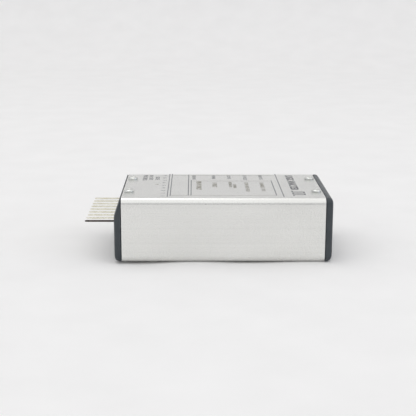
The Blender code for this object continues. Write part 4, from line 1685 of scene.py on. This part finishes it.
@dataclass
class Studio:
    """Paper sweep, soft lights and the camera."""

    sweep_half_width: float = 1600 * MM
    sweep_front: float = -1100 * MM
    sweep_back: float = 760 * MM
    sweep_radius: float = 320 * MM
    sweep_height: float = 1500 * MM
    ripple: float = 0.85 * MM
    ripple_period: float = 46 * MM
    ripple_from: float = -11 * MM
    ripple_span: float = 60 * MM
    ripple_reach: float = 45 * MM
    eye: tuple[float, float, float] = (-11.4 * MM, -395.5 * MM, 108.6 * MM)
    yaw: float = 0.821
    pitch: float = 13.152
    roll: float = 0.193
    lens: float = 84.8
    sensor: float = 36.0

    def floor(self) -> None:
        """Carries a profile along X: flat paper, a quarter circle and an upright.

        Under the object the paper has low ripples: depth times (1 - cos(2 pi x / period)) / 2,
        lower towards +X as 1 - x / span, fading to the front and back as exp(-(y / reach)^2) and
        to the sides as exp(-(x / span)^4).
        """
        fine = np.linspace(-50 * MM, 50 * MM, 21)
        flat = np.concatenate(
            (np.linspace(self.sweep_front, -60 * MM, 8), fine, np.linspace(60 * MM, self.sweep_back, 8))
        )
        turn = np.linspace(0.0, math.pi / 2, 17)[1:]
        radius = self.sweep_radius
        y = np.concatenate((flat, self.sweep_back + radius * np.sin(turn), [self.sweep_back + radius]))
        z = np.concatenate((0 * flat, radius - radius * np.cos(turn), [self.sweep_height]))
        near = np.linspace(-70 * MM, 70 * MM, 71)
        x = np.concatenate(([-self.sweep_half_width, -200 * MM], near, [200 * MM, self.sweep_half_width]))
        across, depth = np.meshgrid(x, y)
        wave = (1.0 - np.cos(2 * math.pi * (across - self.ripple_from) / self.ripple_period)) / 2
        wave *= 1.0 - across / self.ripple_span
        fade = np.exp(-((depth / self.ripple_reach) ** 2) - (across / self.ripple_span) ** 4)
        points = np.stack((across, depth, z[:, None] - self.ripple * wave * fade), axis=-1)
        faces = grid_faces(len(y), len(x), looped=False, wrapped=False)
        mesh = write_mesh("paper_sweep", points.reshape(-1, 3), [faces])
        mesh.shade_smooth()
        mesh.materials.append(PAPER.make())
        stand("paper_sweep", mesh)

    def light(self, name: str, place: Vector, side: float, power: float, colour: str = "#FFFFFF") -> None:
        """Hangs a soft square light that faces the object's middle.

        Args:
            name: its name.
            place: where it hangs.
            side: its side.
            power: its power in watts.
            colour: its colour.
        """
        data = bpy.data.lights.new(name, "AREA")
        data.shape = "SQUARE"
        data.size = side
        data.energy = power
        data.color = linear(colour)[:3]
        turn = place.to_track_quat("Z", "Y").to_matrix().to_4x4()
        stand(name, data).matrix_world = Matrix.Translation(place) @ turn

    def surroundings(self) -> None:
        """Lights the room: an even white sky, dark low in front and a little dimmer low at the sides.

        For a way (x, y, z), the first darkness goes by 0.35 (y + 1) + z from 0.1 to 0.3, and the
        second by |x| (1 - z).
        """
        world = bpy.data.worlds.new("soft white room")
        bpy.context.scene.world = world
        world.use_nodes = True
        sky = Nodes(world.node_tree)
        split = sky.add("SeparateXYZ", {0: sky.add("TexCoord").outputs["Generated"]}).outputs
        behind = sky.add("Math", {0: split["Y"], 1: 1.0}, operation="ADD").outputs[0]
        slope = {0: behind, 1: 0.35, 2: split["Z"]}
        rise = sky.add("Math", slope, operation="MULTIPLY_ADD").outputs[0]
        band = {"Value": rise, "From Min": 0.1, "From Max": 0.3}
        share = sky.add("MapRange", band).outputs["Result"]
        mix = {"Factor": share, 6: linear("#484A50"), 7: linear("#FFFFFF")}
        front = sky.add("Mix", mix, data_type="RGBA").outputs[2]
        aside = sky.add("Math", {0: split["X"]}, operation="ABSOLUTE").outputs[0]
        down = sky.add("Math", {0: 1.0, 1: split["Z"]}, operation="SUBTRACT").outputs[0]
        side = sky.add("Math", {0: aside, 1: down}, operation="MULTIPLY").outputs[0]
        dimmed = {"Factor": side, 6: front, 7: linear("#A4A7AE")}
        colour = sky.add("Mix", dimmed, data_type="RGBA").outputs[2]
        background = world.node_tree.nodes["Background"]
        world.node_tree.links.new(colour, background.inputs["Color"])
        background.inputs["Strength"].default_value = 1.04

    def camera(self) -> None:
        """Stands the camera: forward, right and up from yaw, pitch and roll in degrees."""
        yaw, pitch, roll = (math.radians(angle) for angle in (self.yaw, self.pitch, self.roll))
        ahead = Vector((math.sin(yaw), math.cos(yaw), 0.0))
        forward = ahead * math.cos(pitch) - Vector((0.0, 0.0, math.sin(pitch)))
        level = Vector((ahead.y, -ahead.x, 0.0))
        above = level.cross(forward)
        right = level * math.cos(roll) + above * math.sin(roll)
        up = above * math.cos(roll) - level * math.sin(roll)
        data = bpy.data.cameras.new("camera")
        data.lens = self.lens
        data.sensor_width = self.sensor
        data.clip_start = 10 * MM
        camera = stand("camera", data)
        turn = Matrix((right, up, -forward)).transposed().to_4x4()
        camera.matrix_world = Matrix.Translation(self.eye) @ turn
        bpy.context.scene.camera = camera

    def build(self) -> None:
        """Makes the camera, the floor and the lights."""
        self.camera()
        self.floor()
        self.surroundings()
        self.light("overhead softbox", Vector((-0.2, 0.25, 1.1)), 0.4, 0.7)
        self.light("side softbox", Vector((1.1, -0.5, 0.5)), 0.7, 0.8, "#D6E2FF")
        bpy.context.scene.view_settings.view_transform = "Standard"


def main() -> None:
    """Builds the studio, then the analyzer's sub-assemblies in order."""
    logging.basicConfig(level=logging.INFO, format="%(name)s: %(message)s")
    Studio().build()
    case, header, socket, lamp = Case(), ProbeHeader(), Socket(), StatusLight()
    case.build()
    left = EndCap(End.PINS, case)
    left.build([left.window(header.window_outline)])
    right = EndCap(End.SOCKET, case)
    right.build([right.window(socket.window_outline), lamp.bore(right.outer_x)])
    for number in SCREWS:
        CapScrew(number).build()
    for assembly in (header, socket, lamp, Board(header), Legend(header)):
        assembly.build()


if __name__ == "__main__":
    main()
